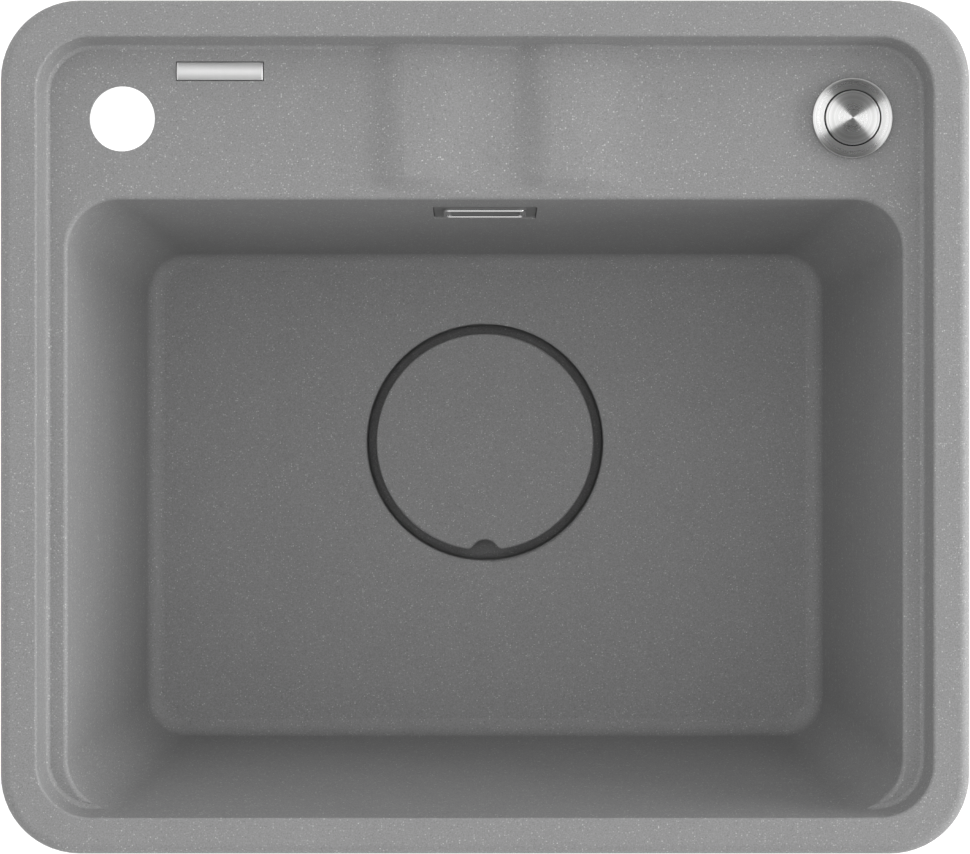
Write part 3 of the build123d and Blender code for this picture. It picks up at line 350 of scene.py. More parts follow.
# %% Shared finish groups
def make_rings():
    """Tool marks round Z: noise read along the radius only, so it is constant round each ring."""
    tree, given, end = new_group(
        "spun_rings",
        {"Vector": None, "Rings per metre": 2600.0},
        ["Mark", "Band"],
    )
    parts = add(tree, "ShaderNodeSeparateXYZ", {"Vector": given["Vector"]}).outputs
    flat = add(tree, "ShaderNodeCombineXYZ", {"X": parts["X"], "Y": parts["Y"]}).outputs[0]
    radius = vectors(tree, "LENGTH", flat)
    along = add(tree, "ShaderNodeCombineXYZ", {"X": radius, "Y": parts["Z"]}).outputs[0]
    fine = noise(tree, along, given["Rings per metre"], 3.0, 0.7)
    coarse = maths(tree, "MULTIPLY", given["Rings per metre"], 0.16)
    band = noise(tree, along, coarse, 2.0)
    feed(tree, end, Mark=fine, Band=band)
    return tree


def make_brushing():
    """Straight scratches along X: noise squeezed across X and drawn out along it."""
    tree, given, end = new_group(
        "brushed_lines",
        {"Vector": None, "Lines per metre": 3500.0, "Length": 0.02},
        ["Mark", "Band"],
    )
    drawn = add(tree, "ShaderNodeCombineXYZ", {"X": given["Length"], "Y": 1.0, "Z": 1.0}).outputs[0]
    vector = vectors(tree, "MULTIPLY", given["Vector"], drawn)
    fine = noise(tree, vector, given["Lines per metre"], 3.0, 0.65)
    coarse = maths(tree, "MULTIPLY", given["Lines per metre"], 0.12)
    band = noise(tree, vector, coarse, 2.0)
    feed(tree, end, Mark=fine, Band=band)
    return tree


def make_skin():
    """Moulded skin: a fine even grain for the relief and a slow cloud for its colour and gloss."""
    tree, given, end = new_group(
        "moulded_skin",
        {"Vector": None, "Grains per metre": 2200.0},
        ["Grain", "Cloud"],
    )
    fine = noise(tree, given["Vector"], given["Grains per metre"], 2.0, 0.55)
    cloud = noise(tree, given["Vector"], 70.0, 4.0, 0.6)
    feed(tree, end, Grain=fine, Cloud=cloud)
    return tree


SPUN_RINGS = make_rings()
BRUSHED_LINES = make_brushing()
MOULDED_SKIN = make_skin()
print("groups:", [group.name for group in bpy.data.node_groups])

# %% [markdown]
# ## The stone
# The sink and its drain cover are one neutral grey. Pale grains lift the colour and are a little
# glossier, dark grains sink it. The relief is a few hundredths of a millimetre, enough to make the
# highlight along an edge soft and broken.

# %% Granite material
STONE_GREY = 0.272
BLUE_CAST = 1.004
PALE_GREY = 0.72
PALE_SHARE = 0.75
DARK_GREY = 0.09
DARK_SHARE = 0.4
GRAINS_PER_METRE = 1050.0
STONE_ROUGHNESS = 0.56
PALE_GLOSS = 0.2
STONE_RELIEF = 0.00012


def make_granite():
    """Stone: shaded base, then pale grains and dark grains mixed over it."""
    material, tree, shader, where = new_material("granite_composite", Specular_IOR_Level=0.42)
    stone = use(tree, STONE_SPECKLE, Vector=where, Grains_per_metre=GRAINS_PER_METRE)
    base = add(tree, "ShaderNodeCombineColor", {
        "Red": maths(tree, "MULTIPLY", stone["Shade"], STONE_GREY),
        "Green": maths(tree, "MULTIPLY", stone["Shade"], STONE_GREY),
        "Blue": maths(tree, "MULTIPLY", stone["Shade"], STONE_GREY * BLUE_CAST),
    }).outputs[0]
    share = maths(tree, "MULTIPLY", stone["Pale"], PALE_SHARE)
    colour = mix(tree, share, base, grey(PALE_GREY))
    share = maths(tree, "MULTIPLY", stone["Dark"], DARK_SHARE)
    colour = mix(tree, share, colour, grey(DARK_GREY))
    gloss = maths(tree, "MULTIPLY_ADD", stone["Pale"], -PALE_GLOSS, STONE_ROUGHNESS)
    feed(tree, shader, Base_Color=colour, Roughness=gloss)
    bump(tree, shader, stone["Height"], STONE_RELIEF, 0.35)
    return material


GRANITE = make_granite()
print("material:", GRANITE.name)

# %% [markdown]
# ## The metals
# The control is turned steel: light spreads across its ring marks, so it shows bright and dark
# wedges that follow the room. That is what an anisotropic shader with a radial tangent does. The
# control's sloping outer edge is polished plain, so it has no spread. The deck bar is satin steel
# rubbed across its length, and the overflow frame is a grey moulding plated on its front only. The
# waste cup is pressed sheet, the pins and the spring are drawn wire, and the clip jaws and screws
# are zinc plated.

# %% Metal materials
WALL_LEAN = math.radians(5.9)
FRAME_SEAT = -0.0010
FRAME_PROUD = 0.0012
CAD_BEVEL = 0.0006
PLATING_EDGE = 0.0001


def make_spun_steel(name, spread):
    """Turned steel; the tangent runs round Z and a quarter turn points the spread outwards."""
    material, tree, shader, where = new_material(
        name, Metallic=1.0, Anisotropic=spread, Anisotropic_Rotation=0.25)
    low, high = box_of("control_ring")
    middle = (low + high) / 2
    centred = add(tree, "ShaderNodeMapping", {"Vector": where, "Location": -middle}).outputs[0]
    rings = use(tree, SPUN_RINGS, Vector=centred, Rings_per_metre=2000.0)
    depth = remap(tree, rings["Mark"], 0.32, 0.68, 0, 1)
    colour = mix(tree, depth, (0.66, 0.66, 0.65), grey(0.88))
    gloss = remap(tree, rings["Band"], 0.3, 0.7, 0.25, 0.31)
    tangent = add(tree, "ShaderNodeTangent", direction_type="RADIAL", axis="Z").outputs[0]
    feed(tree, shader, Base_Color=colour, Roughness=gloss, Tangent=tangent)
    bump(tree, shader, rings["Mark"], 0.00001, 0.4)
    return material


def make_brushed(name, dark, light, rough, density, length):
    """Steel with straight fine scratches along X: so many to the metre, drawn out by 1 / length."""
    material, tree, shader, where = new_material(name, Metallic=1.0)
    lines = use(tree, BRUSHED_LINES, Vector=where, Lines_per_metre=density, Length=length)
    colour = mix(tree, lines["Band"], dark, light)
    gloss = remap(tree, lines["Mark"], 0.3, 0.7, rough - 0.06, rough + 0.06)
    feed(tree, shader, Base_Color=colour, Roughness=gloss)
    bump(tree, shader, lines["Mark"], 0.00002, 0.5)
    return material


def make_cross_brushed(name, dark, light, rough):
    """Steel rubbed across its length: the tangent and the spread of light run along X."""
    material, tree, shader, where = new_material(name, Metallic=1.0, Anisotropic=0.9)
    quarter = (0, 0, math.pi / 2)
    turned = add(tree, "ShaderNodeMapping", {"Vector": where, "Rotation": quarter}).outputs[0]
    lines = use(tree, BRUSHED_LINES, Vector=turned, Lines_per_metre=3500.0, Length=0.02)
    colour = mix(tree, lines["Band"], dark, light)
    gloss = remap(tree, lines["Mark"], 0.3, 0.7, rough - 0.04, rough + 0.04)
    tangent = add(tree, "ShaderNodeTangent", direction_type="RADIAL", axis="Y").outputs[0]
    feed(tree, shader, Base_Color=colour, Roughness=gloss, Tangent=tangent)
    return material


def make_plated(name, dark, light, rough):
    """Plated or cast metal: a cloudy tint and a faint even grain."""
    material, tree, shader, where = new_material(name, Metallic=1.0)
    skin = use(tree, MOULDED_SKIN, Vector=where, Grains_per_metre=1500.0)
    colour = mix(tree, skin["Cloud"], dark, light)
    gloss = remap(tree, skin["Cloud"], 0.3, 0.7, rough - 0.06, rough + 0.06)
    feed(tree, shader, Base_Color=colour, Roughness=gloss)
    bump(tree, shader, skin["Grain"], 0.00003, 0.4)
    return material


def frame_plane():
    """Point of the bowl's back wall behind the frame's middle, and the direction off the wall."""
    low, high = box_of("overflow_ring")
    lean_sin, lean_cos = math.sin(WALL_LEAN), math.cos(WALL_LEAN)
    half_height = (high - low)[2] / lean_cos / 2
    y = low[1] + (half_height - CAD_BEVEL) * lean_sin + FRAME_PROUD * lean_cos
    z = (low + high)[2] / 2 - FRAME_SEAT * lean_sin
    return (0, y, z), (0, -lean_cos, lean_sin)


def make_frame_chrome():
    """Plated where it stands off the wall; its sleeve, behind the wall's face, is bare grey."""
    material, tree, shader, where = new_material("plated_frame")
    skin = use(tree, MOULDED_SKIN, Vector=where, Grains_per_metre=1500.0)
    origin, outward = frame_plane()
    level = vectors(tree, "DOT_PRODUCT", vectors(tree, "SUBTRACT", where, origin), outward)
    plated = remap(tree, level, 0.0, PLATING_EDGE, 0, 1)
    bare = mix(tree, skin["Cloud"], grey(0.19), grey(0.24))
    bright = mix(tree, skin["Cloud"], grey(0.84), grey(0.92))
    colour = mix(tree, plated, bare, bright)
    gloss = remap(tree, plated, 0, 1, 0.50, 0.16)
    feed(tree, shader, Base_Color=colour, Metallic=plated, Roughness=gloss)
    bump(tree, shader, skin["Grain"], 0.00001, 0.4)
    return material


SPUN_STEEL = make_spun_steel("spun_steel", 1.0)
EDGE_STEEL = make_spun_steel("polished_edge", 0.0)
BAR_STEEL = make_cross_brushed("satin_bar", grey(0.72), grey(0.76), 0.40)
FRAME_CHROME = make_frame_chrome()
CUP_STEEL = make_brushed(
    "pressed_steel", (0.58, 0.58, 0.57), (0.72, 0.72, 0.71), 0.26, density=1600.0, length=0.15)
PIN_STEEL = make_brushed(
    "drawn_steel", (0.52, 0.52, 0.51), (0.66, 0.66, 0.65), 0.30, density=2400.0, length=0.3)
ZINC = make_plated("zinc_plate", (0.48, 0.48, 0.46), (0.70, 0.70, 0.68), 0.36)
BRASS = make_plated("bare_brass", (0.56, 0.42, 0.19), (0.74, 0.59, 0.32), 0.30)
METALS = (SPUN_STEEL, EDGE_STEEL, BAR_STEEL, FRAME_CHROME, CUP_STEEL, PIN_STEEL, ZINC, BRASS)
print("metals:", [metal.name for metal in METALS])

# %% [markdown]
# ## Plastics and rubber
# Under the sink everything is moulded: pale polypropylene for the wet parts, black nylon for nuts
# and levers, soft black rubber for the seals and a foam strip under the rim. The overflow plate is
# moulded in a grey near the stone's. They differ in grain, gloss and depth of colour, so one
# function with a few values makes them all.

# %% Moulded materials
def make_moulded(name, dark, light, rough, grain=2200.0, relief=0.00004):
    """Plastic or rubber: cloud for colour and gloss, fine grain for relief."""
    material, tree, shader, where = new_material(name)
    skin = use(tree, MOULDED_SKIN, Vector=where, Grains_per_metre=grain)
    colour = mix(tree, skin["Cloud"], dark, light)
    gloss = remap(tree, skin["Cloud"], 0.3, 0.7, rough - 0.07, rough + 0.07)
    feed(tree, shader, Base_Color=colour, Roughness=gloss)
    bump(tree, shader, skin["Grain"], relief, 0.5)
    return material


PALE_PLASTIC = make_moulded("pale_polypropylene", (0.60, 0.60, 0.58), (0.70, 0.70, 0.68), 0.42)
BLACK_NYLON = make_moulded("black_nylon", (0.018, 0.018, 0.019), (0.032, 0.032, 0.034), 0.45)
PLATE_GREY = make_moulded("overflow_grey", grey(0.16), grey(0.20), 0.45)
RUBBER = make_moulded("seal_rubber", grey(0.016), grey(0.030), 0.68, grain=1200.0, relief=0.00008)
FOAM = make_moulded(
    "foam_strip", (0.030, 0.030, 0.031), (0.060, 0.060, 0.062), 0.90, grain=1000.0, relief=0.0004)
print("moulded:", [skin.name for skin in (PALE_PLASTIC, BLACK_NYLON, PLATE_GREY, RUBBER, FOAM)])

# %% [markdown]
# ## Dressing the CAD pieces
# A CAD piece whose shape is right keeps its mesh and only gets a finish. A table from finish to
# pieces is easier to check than a long list of assignments.

# %% Finish of every CAD node
FINISHES = [
    (GRANITE, ["basin", "drain_cover"]),
    (SPUN_STEEL, ["control_ring", "control_button"]),
    (BAR_STEEL, ["deck_bar"]),
    (CUP_STEEL, ["waste_cup"]),
    (PIN_STEEL, ["clamp_bolt", "lift_pin", "lever_shaft", "control_plunger", "control_spring"]),
    (FRAME_CHROME, ["overflow_ring"]),
    (ZINC, ["clip_screws", "overflow_screws", *[f"clip_jaw_{n}" for n in range(1, 7)]]),
    (BRASS, ["cable_anchor", "clip_inserts"]),
    (PALE_PLASTIC, ["waste_body", "overflow_pipe"]),
    (PLATE_GREY, ["overflow_plate"]),
    (BLACK_NYLON, [
        "plug", "lift_lever", "cable_crank", "shaft_cap", "waste_gland", "overflow_elbow",
        "pipe_nuts", "control_sleeve", "control_nut", "control_gland", "clip_sleeves"]),
    (RUBBER, [
        "bar_pad", "cover_feet", "flange_gasket", "body_gasket", "plug_seal", "shaft_seal",
        "overflow_gasket", "pipe_seals", "control_gasket", "control_washer"]),
    (FOAM, ["rim_seal"]),
]


def dress(piece, material):
    """Give a piece one finish all over."""
    piece.data.materials.clear()
    piece.data.materials.append(material)


for material, names in FINISHES:
    for name in names:
        dress(NODES[name], material)
bare = sorted(set(NODES) - {name for _, names in FINISHES for name in names})
print("pieces without a finish:", bare)

# %% [markdown]
# ## The control's ring and button
# Both are turned on a lathe, and the turner breaks every edge with a fine radius and slopes the
# ring's outer edge a little. Those edges draw the thin bright lines round the ring and round the
# dark gap at the button. The CAD has plain bevels, so two finer profiles are turned about Z
# instead. The ring's faces outside the slope's start get the polished finish.

# %% Turned control
BUTTON_PLAY = 0.0004
GAP_OPENING = 0.0002
EDGE_RUN = 0.0008
EDGE_DROP = 0.00028
SLEEVE_R = 0.01685
SEAT_DEPTH = 0.0015


def fit(piece, material, body, slot, *nodes):
    """Give a new piece its finish, the body it moves with and the CAD nodes it stands for."""
    dress(piece, material)
    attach(piece, body)
    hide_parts(*nodes)
    return piece


def turned_control():
    """Ring with a seat cut under it, and a flat button; both profiles are (radius, height)."""
    low, high = box_of("control_ring")
    centre = (*((low + high) / 2)[:2], 0)
    button_low, button_high = box_of("control_button")
    button_r = (button_high - button_low)[0] / 2
    outer = (high - low)[0] / 2
    bore = button_r + BUTTON_PLAY + GAP_OPENING
    top, under, seat_z = high[2], low[2], low[2] + SEAT_DEPTH
    outline = [(bore, top), (outer - EDGE_RUN, top), (outer, top - EDGE_DROP), (outer, under),
               (SLEEVE_R, under), (SLEEVE_R, seat_z), (bore, seat_z)]
    corners = [0.0004, 0.0002, 0.0003, 0.0002, 0.0001, 0.0001, 0.0002]
    ring = turn(soften(outline, corners), 160)
    rim = button_r - GAP_OPENING
    top, under = button_high[2], button_low[2]
    outline = [(0, under), (rim, under), (rim, top), (0, top)]
    button = turn(soften(outline, [0, 0.0003, 0.0005, 0], closed=False), 160)
    ring = make_piece("control_ring_turned", place(ring, centre))
    button = make_piece("control_button_turned", place(button, centre))
    fit(ring, SPUN_STEEL, "sink", "steel", "control_ring")
    ring.data.materials.append(EDGE_STEEL)
    middles = np.empty(3 * len(ring.data.polygons))
    ring.data.polygons.foreach_get("center", middles)
    x, y, _ = (middles.reshape(-1, 3) - centre).T
    sloping = (np.hypot(x, y) > outer - EDGE_RUN).astype(np.int32)
    ring.data.polygons.foreach_set("material_index", sloping)
    fit(button, SPUN_STEEL, "button", "steel", "control_button")
    print("gap round the button, mm:", round((bore - rim) * 1000, 2))


turned_control()

# %% [markdown]
# ## The spring under the button
# The button stands on a wound spring that shortens as it is pressed. A rigid spring would poke
# through the pressed button. Here the wire is carried along a helix as a piece of its own, and it
# rides with the sink.

# %% Wound spring under the button
SPRING_TURNS = 4
SPRING_WIRE_R = 0.0007


def wound_spring():
    """Circles of the wire's radius along a helix, each square to it, with a pole at either end.

    Helix point = (radius x cos a, radius x sin a, rise x share), with a = turns x share x 2 pi.
    """
    low, high = box_of("control_spring")
    size = high - low
    radius, rise = size[0] / 2 - SPRING_WIRE_R, size[2] - 2 * SPRING_WIRE_R
    share = np.linspace(0, 1, 64 * SPRING_TURNS)[:, None]
    angle = 2 * np.pi * SPRING_TURNS * share
    zero = np.zeros_like(angle)
    outward = np.concatenate([np.cos(angle), np.sin(angle), zero], axis=1)
    sweep = 2 * np.pi * SPRING_TURNS * radius
    ahead = np.concatenate([-sweep * np.sin(angle), sweep * np.cos(angle), zero + rise], axis=1)
    upward = np.cross(outward, ahead / np.linalg.norm(ahead, axis=1, keepdims=True))
    around = np.linspace(0, 2 * np.pi, 12, endpoint=False)[None, :, None]
    line = radius * outward + np.concatenate([zero, zero, SPRING_WIRE_R + rise * share], axis=1)
    rows = np.concatenate([[0], np.arange(len(share)), [len(share) - 1]])
    wire = np.full((len(rows), 1, 1), SPRING_WIRE_R)
    wire[[0, -1]] = 0
    tube = np.cos(around) * outward[rows][:, None] + np.sin(around) * upward[rows][:, None]
    foot = np.array([*((low + high) / 2)[:2], low[2]])
    spring = make_piece("control_spring_wound", line[rows][:, None] + wire * tube + foot)
    fit(spring, PIN_STEEL, "sink", "steel", "control_spring")
    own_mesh(spring)


wound_spring()

# %% [markdown]
# ## The bar in the deck
# The bar is sawn from a crowned strip and its two ends are eased with a file, which leaves a narrow
# facet at each end. A Bevel modifier would ease all edges alike. Here sections of the strip stand
# in a row along X, and the outermost ones are lower, so only the ends slope.

# %% Deck bar with eased ends
BAR_CROWN = 0.0005
EASE_LENGTH = 0.0006
EASE_DROP = 0.00022


def eased_bar():
    """Height over a section = top - crown x (y / half width) squared, less a drop at the ends."""
    low, high = box_of("deck_bar")
    half_x, half_y = (high - low)[:2] / 2
    thick = high[2] - low[2]
    across = np.linspace(1, -1, 25)
    top = np.stack([across * half_y, thick - BAR_CROWN * across ** 2], axis=-1)
    foot = np.array([(-half_y, 0.0), (half_y, 0.0)])
    section = np.concatenate([top, foot])
    inset = np.array([0, 0, 0.9 * EASE_LENGTH, 1.1 * EASE_LENGTH, 2 * EASE_LENGTH])
    x = np.concatenate([-half_x + inset, half_x - inset[::-1]])
    drop = EASE_DROP * np.clip(1 - (half_x - np.abs(x)) / EASE_LENGTH, 0, 1)
    y = np.broadcast_to(section[:, 0], (len(x), len(section))).copy()
    z = np.where(section[:, 1] > 0, section[:, 1] - drop[:, None], 0)
    y[[0, -1]], z[[0, -1]] = 0, thick / 2
    grid = np.stack([np.broadcast_to(x[:, None], y.shape), y, z], axis=-1)
    bar = make_piece("deck_bar_eased", grid + np.array([*((low + high) / 2)[:2], low[2]]))
    return fit(bar, BAR_STEEL, "sink", "steel", "deck_bar")


eased_bar()

# %% [markdown]
# ## The overflow's frame
# The bright frame round the overflow slot is moulded and plated, and its edges slope both ways, so
# from above its two long bars show as bright lines. A profile carried round a rounded rectangle
# makes it: moving a profile point inwards shrinks the rectangle and its corners alike. Along X both
# slopes are short and a low step lies inside them, so each end of the opening is dark.

# %% Bevelled frame with its sleeve
FRAME_BEVEL = 0.00065
FRAME_BAR = 0.0034
FRAME_CORNER = 0.005
FRAME_SLEEVE = 0.0012
STEP_DROP = 0.0004
END_INSETS = [0, 0.0003, 0.0006, 0.0014]


def rounded_rectangle(inward_x, inward_y, half_x, half_y, corner, steps=12):
    """Points of rounded rectangles, one row for each pair of inward distances, at equal angles."""
    quarter = np.repeat(np.arange(4), steps) * np.pi / 2
    angle = quarter + np.tile(np.linspace(0, np.pi / 2, steps), 4)
    side_x, side_y = np.sign(np.cos(quarter + np.pi / 4)), np.sign(np.sin(quarter + np.pi / 4))
    radius = corner - inward_y[:, None]
    x = side_x * (half_x - inward_x[:, None] - radius) + radius * np.cos(angle)
    y = side_y * (half_y - corner) + radius * np.sin(angle)
    return x, y


def overflow_frame():
    """Closed profile of (distance inwards, height off the wall): slope, flat, slope and sleeve.

    Along X the distance inwards is shorter on the bar, where it is interpolated in END_INSETS. At
    the seat and below the step it is the plain distance again.
    """
    low, high = box_of("overflow_ring")
    lean_sin, lean_cos = math.sin(WALL_LEAN), math.cos(WALL_LEAN)
    seat, proud, bar = FRAME_SEAT, FRAME_PROUD, FRAME_BAR
    origin, outward = frame_plane()
    half_x = (high - low)[0] / 2
    half_y = (high - low)[2] / lean_cos / 2
    back = -(high[1] - origin[1] - (half_y - bar + FRAME_SLEEVE) * lean_sin) / lean_cos
    slope = proud - FRAME_BEVEL
    step = slope - STEP_DROP
    tiny = 0.0001
    inner, throat = bar - FRAME_BEVEL, bar + tiny
    outside = throat - FRAME_SLEEVE
    outline = [(0, seat), (0, slope), (FRAME_BEVEL, proud), (inner, proud), (bar, slope),
               (throat, step), (throat, back), (outside, back), (outside, seat)]
    fine, edge = 0.00005, 0.00015
    profile = soften(outline, [fine, edge, edge, edge, edge, fine, fine, fine, fine])
    inward, level = profile.T
    along = np.interp(inward, [0, FRAME_BEVEL, inner, bar], END_INSETS)
    below = np.interp(level, [step, slope - STEP_DROP / 2], [1, 0])
    along = np.where(inward < inner, along, along + below * (inward - along))
    along = np.where(level > seat + tiny, along, inward)
    x, y = rounded_rectangle(along, inward, half_x, half_y, FRAME_CORNER)
    grid = np.stack([x, y, np.broadcast_to(level[:, None], x.shape)], axis=-1)
    piece = make_piece("overflow_frame", place(grid, origin, outward))
    print("frame sleeve reaches back, mm:", round(-back * 1000, 2))
    return fit(piece, FRAME_CHROME, "sink", "chrome", "overflow_ring")


overflow_frame()

# %% [markdown]
# ## Ribbed nuts, glands and cap
# Plastic nuts that are tightened by hand have ribs round their grip. In the mould the ribs are a
# wave round the rim, so the same turned profile gets a radius that dips between the ribs, while the
# bore and the faces stay plain.

# %% Ribbed pieces
NUT_GRIP_R = 0.019
NUT_DEPTH = 0.010
GLAND_COLLAR = 0.004


def pipe_nut():
    """Nut about its own mouth: grip below, lip above, stepped bore for the socket and the pipe."""
    bore, grip, lip = 0.01505, NUT_GRIP_R, 0.01265
    foot, step, top = -NUT_DEPTH, 0.003, 0.006
    outline = [(bore, foot), (grip, foot), (grip, top), (lip, top), (lip, step), (bore, step)]
    corners = [0.0003, 0.0010, 0.0014, 0.0004, 0.0002, 0.0002]
    return turn(soften(outline, corners), 264, ribs=22, depth=0.0011, plain_radius=0.0168)


def cable_gland():
    """Gland about its seat: ribbed collar above, threaded stem below, narrow bore for a cable."""
    bore, stem, collar = 0.0013, 0.0050, 0.0075
    foot, top = -0.010, GLAND_COLLAR
    outline = [(bore, foot), (stem, foot), (stem, 0), (collar, 0), (collar, top), (bore, top)]
    corners = [0.0002, 0.0005, 0.0001, 0.0003, 0.0008, 0.0004]
    return turn(soften(outline, corners), 144, ribs=12, depth=0.0006, plain_radius=0.0060)


def bearing_cap():
    """Cap about its inner face: a ribbed disc with a hole for the shaft."""
    hole, rim, thick = 0.00405, 0.010, 0.003
    outline = [(hole, 0), (rim, 0), (rim, thick), (hole, thick)]
    corners = [0.0001, 0.0002, 0.0008, 0.0003]
    return turn(soften(outline, corners), 192, ribs=16, depth=0.0006, plain_radius=0.0080)


def ribbed_pieces():
    """Each shape at its places, which are read from the boxes of the CAD nodes."""
    low, high = box_of("pipe_nuts")
    upper = place(pipe_nut(), (0, high[1] - NUT_GRIP_R, high[2] - NUT_DEPTH), (0, 0, -1))
    lower = place(pipe_nut(), (0, low[1] + NUT_DEPTH, low[2] + NUT_GRIP_R), (0, 1, 0))
    nuts = make_piece("pipe_nuts_ribbed", upper, lower)
    fit(nuts, BLACK_NYLON, "sink", "dark_plastic", "pipe_nuts")
    low, high = box_of("control_gland")
    x, y, _ = (low + high) / 2
    gland = place(cable_gland(), (x, y, low[2] + GLAND_COLLAR), (0, 0, -1))
    gland = make_piece("control_gland_ribbed", gland)
    fit(gland, BLACK_NYLON, "sink", "dark_plastic", "control_gland")
    low, high = box_of("waste_gland")
    x, _, z = (low + high) / 2
    gland = place(cable_gland(), (x, high[1] - GLAND_COLLAR, z), (0, 1, 0))
    gland = make_piece("waste_gland_ribbed", gland)
    fit(gland, BLACK_NYLON, "sink", "dark_plastic", "waste_gland")
    low, high = box_of("shaft_cap")
    _, y, z = (low + high) / 2
    cap = place(bearing_cap(), (low[0], y, z), (1, 0, 0), (0, 1, 0))
    cap = make_piece("shaft_cap_ribbed", cap)
    fit(cap, BLACK_NYLON, "sink", "dark_plastic", "shaft_cap")


ribbed_pieces()

# %% [markdown]
# ## The six-sided nut
# A cut nut has its corners turned off at both faces, which leaves the curved lines seen on every
# hexagon nut. In polar form a hexagon is its half width divided by the cosine of the angle from the
# middle of a side, and the turned corners are a cone. The smaller of the two is the nut.

# %% Hexagon nut under the deck
CONE_INSET = 0.0003
CONE_SLOPE = 1.9
CONE_HEIGHT = 0.0021


def hexagon_nut():
    """Radius = min(half width / cos(angle from a side's middle), cone).

    The cone starts a little inside the half width at either face and opens away from the face.
    """
    low, high = box_of("control_nut")
    centre = (*((low + high) / 2)[:2], low[2])
    width, depth, height = high - low
    half_width = min(width, depth) / 2
    angle = np.linspace(0, 2 * np.pi, 288, endpoint=False)
    turned = 0 if width > depth else np.pi / 6
    hexagon = half_width / np.cos((angle + turned) % (np.pi / 3) - np.pi / 6)
    inset = np.linspace(0, CONE_HEIGHT, 12)
    level = np.concatenate([inset, height - inset[::-1]])
    cone = half_width - CONE_INSET + CONE_SLOPE * np.minimum(level, height - level)
    radius = np.minimum(hexagon, cone[:, None])
    bore = np.full((1, len(angle)), SLEEVE_R)
    radius = np.concatenate([bore, radius, bore, bore])
    level = np.concatenate([[0], level, [height], [0]])[:, None]
    level = np.broadcast_to(level, radius.shape)
    grid = np.stack([radius * np.cos(angle), radius * np.sin(angle), level], axis=-1)
    nut = make_piece("control_nut_cut", place(grid, centre))
    return fit(nut, BLACK_NYLON, "sink", "dark_plastic", "control_nut")


hexagon_nut()

# %% [markdown]
# ## Screws with a cross recess
# A screw head is stamped, and the punch leaves a cross. The head is a height over the polar plane:
# a shallow dome, minus a cross wherever a point is near one of two lines and not too far out. Its
# rows go on down the head's side and the shank, so each screw is one closed surface.

# %% Clip screws and overflow screws
DOME_SHARE = 0.35
CROSS_SHARE = 0.55


def cross_screw(head_r, head, shank_r, length):
    """Screw about its seat: dome and cross above, shank below.

    Depth of the cross = its share of the head x ramp(near a line) x ramp(inside the reach), where
    each ramp goes from 0 to 1. The lines' half width and their reach are shares of the radius.
    """
    angle = np.linspace(0, 2 * np.pi, 96, endpoint=False)
    edge = head - DOME_SHARE * head
    radius = head_r * np.linspace(0, 1, 40)[:, None]
    x, y = np.abs(radius * np.cos(angle)), np.abs(radius * np.sin(angle))
    half_arm, arm_ramp = 0.16 * head_r, 0.06 * head_r
    reach, reach_ramp = 0.62 * head_r, 0.12 * head_r
    near = np.clip((half_arm - np.minimum(x, y)) / arm_ramp, 0, 1)
    inside = np.clip((reach - np.maximum(x, y)) / reach_ramp, 0, 1)
    dome = edge + (head - edge) * np.sqrt(np.clip(1 - (radius / head_r) ** 2, 0, 1))
    level = dome - CROSS_SHARE * head * near * inside
    top = np.stack([radius * np.cos(angle), radius * np.sin(angle), level], axis=-1)
    tip = 0.6 * shank_r
    shank = [(head_r, 0), (shank_r, 0), (shank_r, tip - length),
             (shank_r - tip, -length), (0, -length)]
    return np.concatenate([top, turn(np.array(shank), 96)])


def all_screws():
    """Clip screws at the clip joints' axes; overflow screws along the bowl's leaning back wall."""
    low, high = box_of("clip_screws")
    head_r, head, shank_r = 0.0045, 0.003, 0.0025
    screw = cross_screw(head_r, head, shank_r, high[2] - low[2] - head)
    spots = [j["pos_m"] for j in frame["joints"] if j["name"].startswith("clip_swing")]
    grids = [place(screw, (x, y, low[2] + head), (0, 0, -1)) for x, y, _ in spots]
    fit(make_piece("clip_screws_cross", *grids), ZINC, "sink", "steel", "clip_screws")
    print("clip screws:", len(grids))
    low, high = box_of("overflow_screws")
    head_r, head, shank_r, spare = 0.003, 0.0022, 0.0015, 0.0002
    lean_sin, lean_cos = math.sin(WALL_LEAN), math.cos(WALL_LEAN)
    outward = np.array([0, lean_cos, -lean_sin])
    middle = np.array([0, high[1] - head_r * lean_sin, low[2] + head_r * lean_cos])
    seat = middle - head * outward
    length = (seat[1] - low[1]) / lean_cos - spare
    screw = cross_screw(head_r, head, shank_r, length)
    spots = [seat + np.array([x, 0, 0]) for x in (low[0] + head_r, high[0] - head_r)]
    grids = [place(screw, spot, outward) for spot in spots]
    fit(make_piece("overflow_screws_cross", *grids), ZINC, "sink", "steel", "overflow_screws")
    print("overflow screw length, mm:", round(length * 1000, 2))


all_screws()

# %% [markdown]
# ## Thread on the waste outlet
# The trap's nut screws onto the outlet, so the real outlet carries a thread of about 11 turns to
# the inch. A Screw modifier would make one, but its ends stop dead. Carrying a small trapezoid
# along a helix and shrinking it at both ends gives the run-in and run-out of a moulded thread.

# %% Outlet thread
THREAD_START = 0.0022
FADE_TURNS = 0.35
BURIED = 0.0001


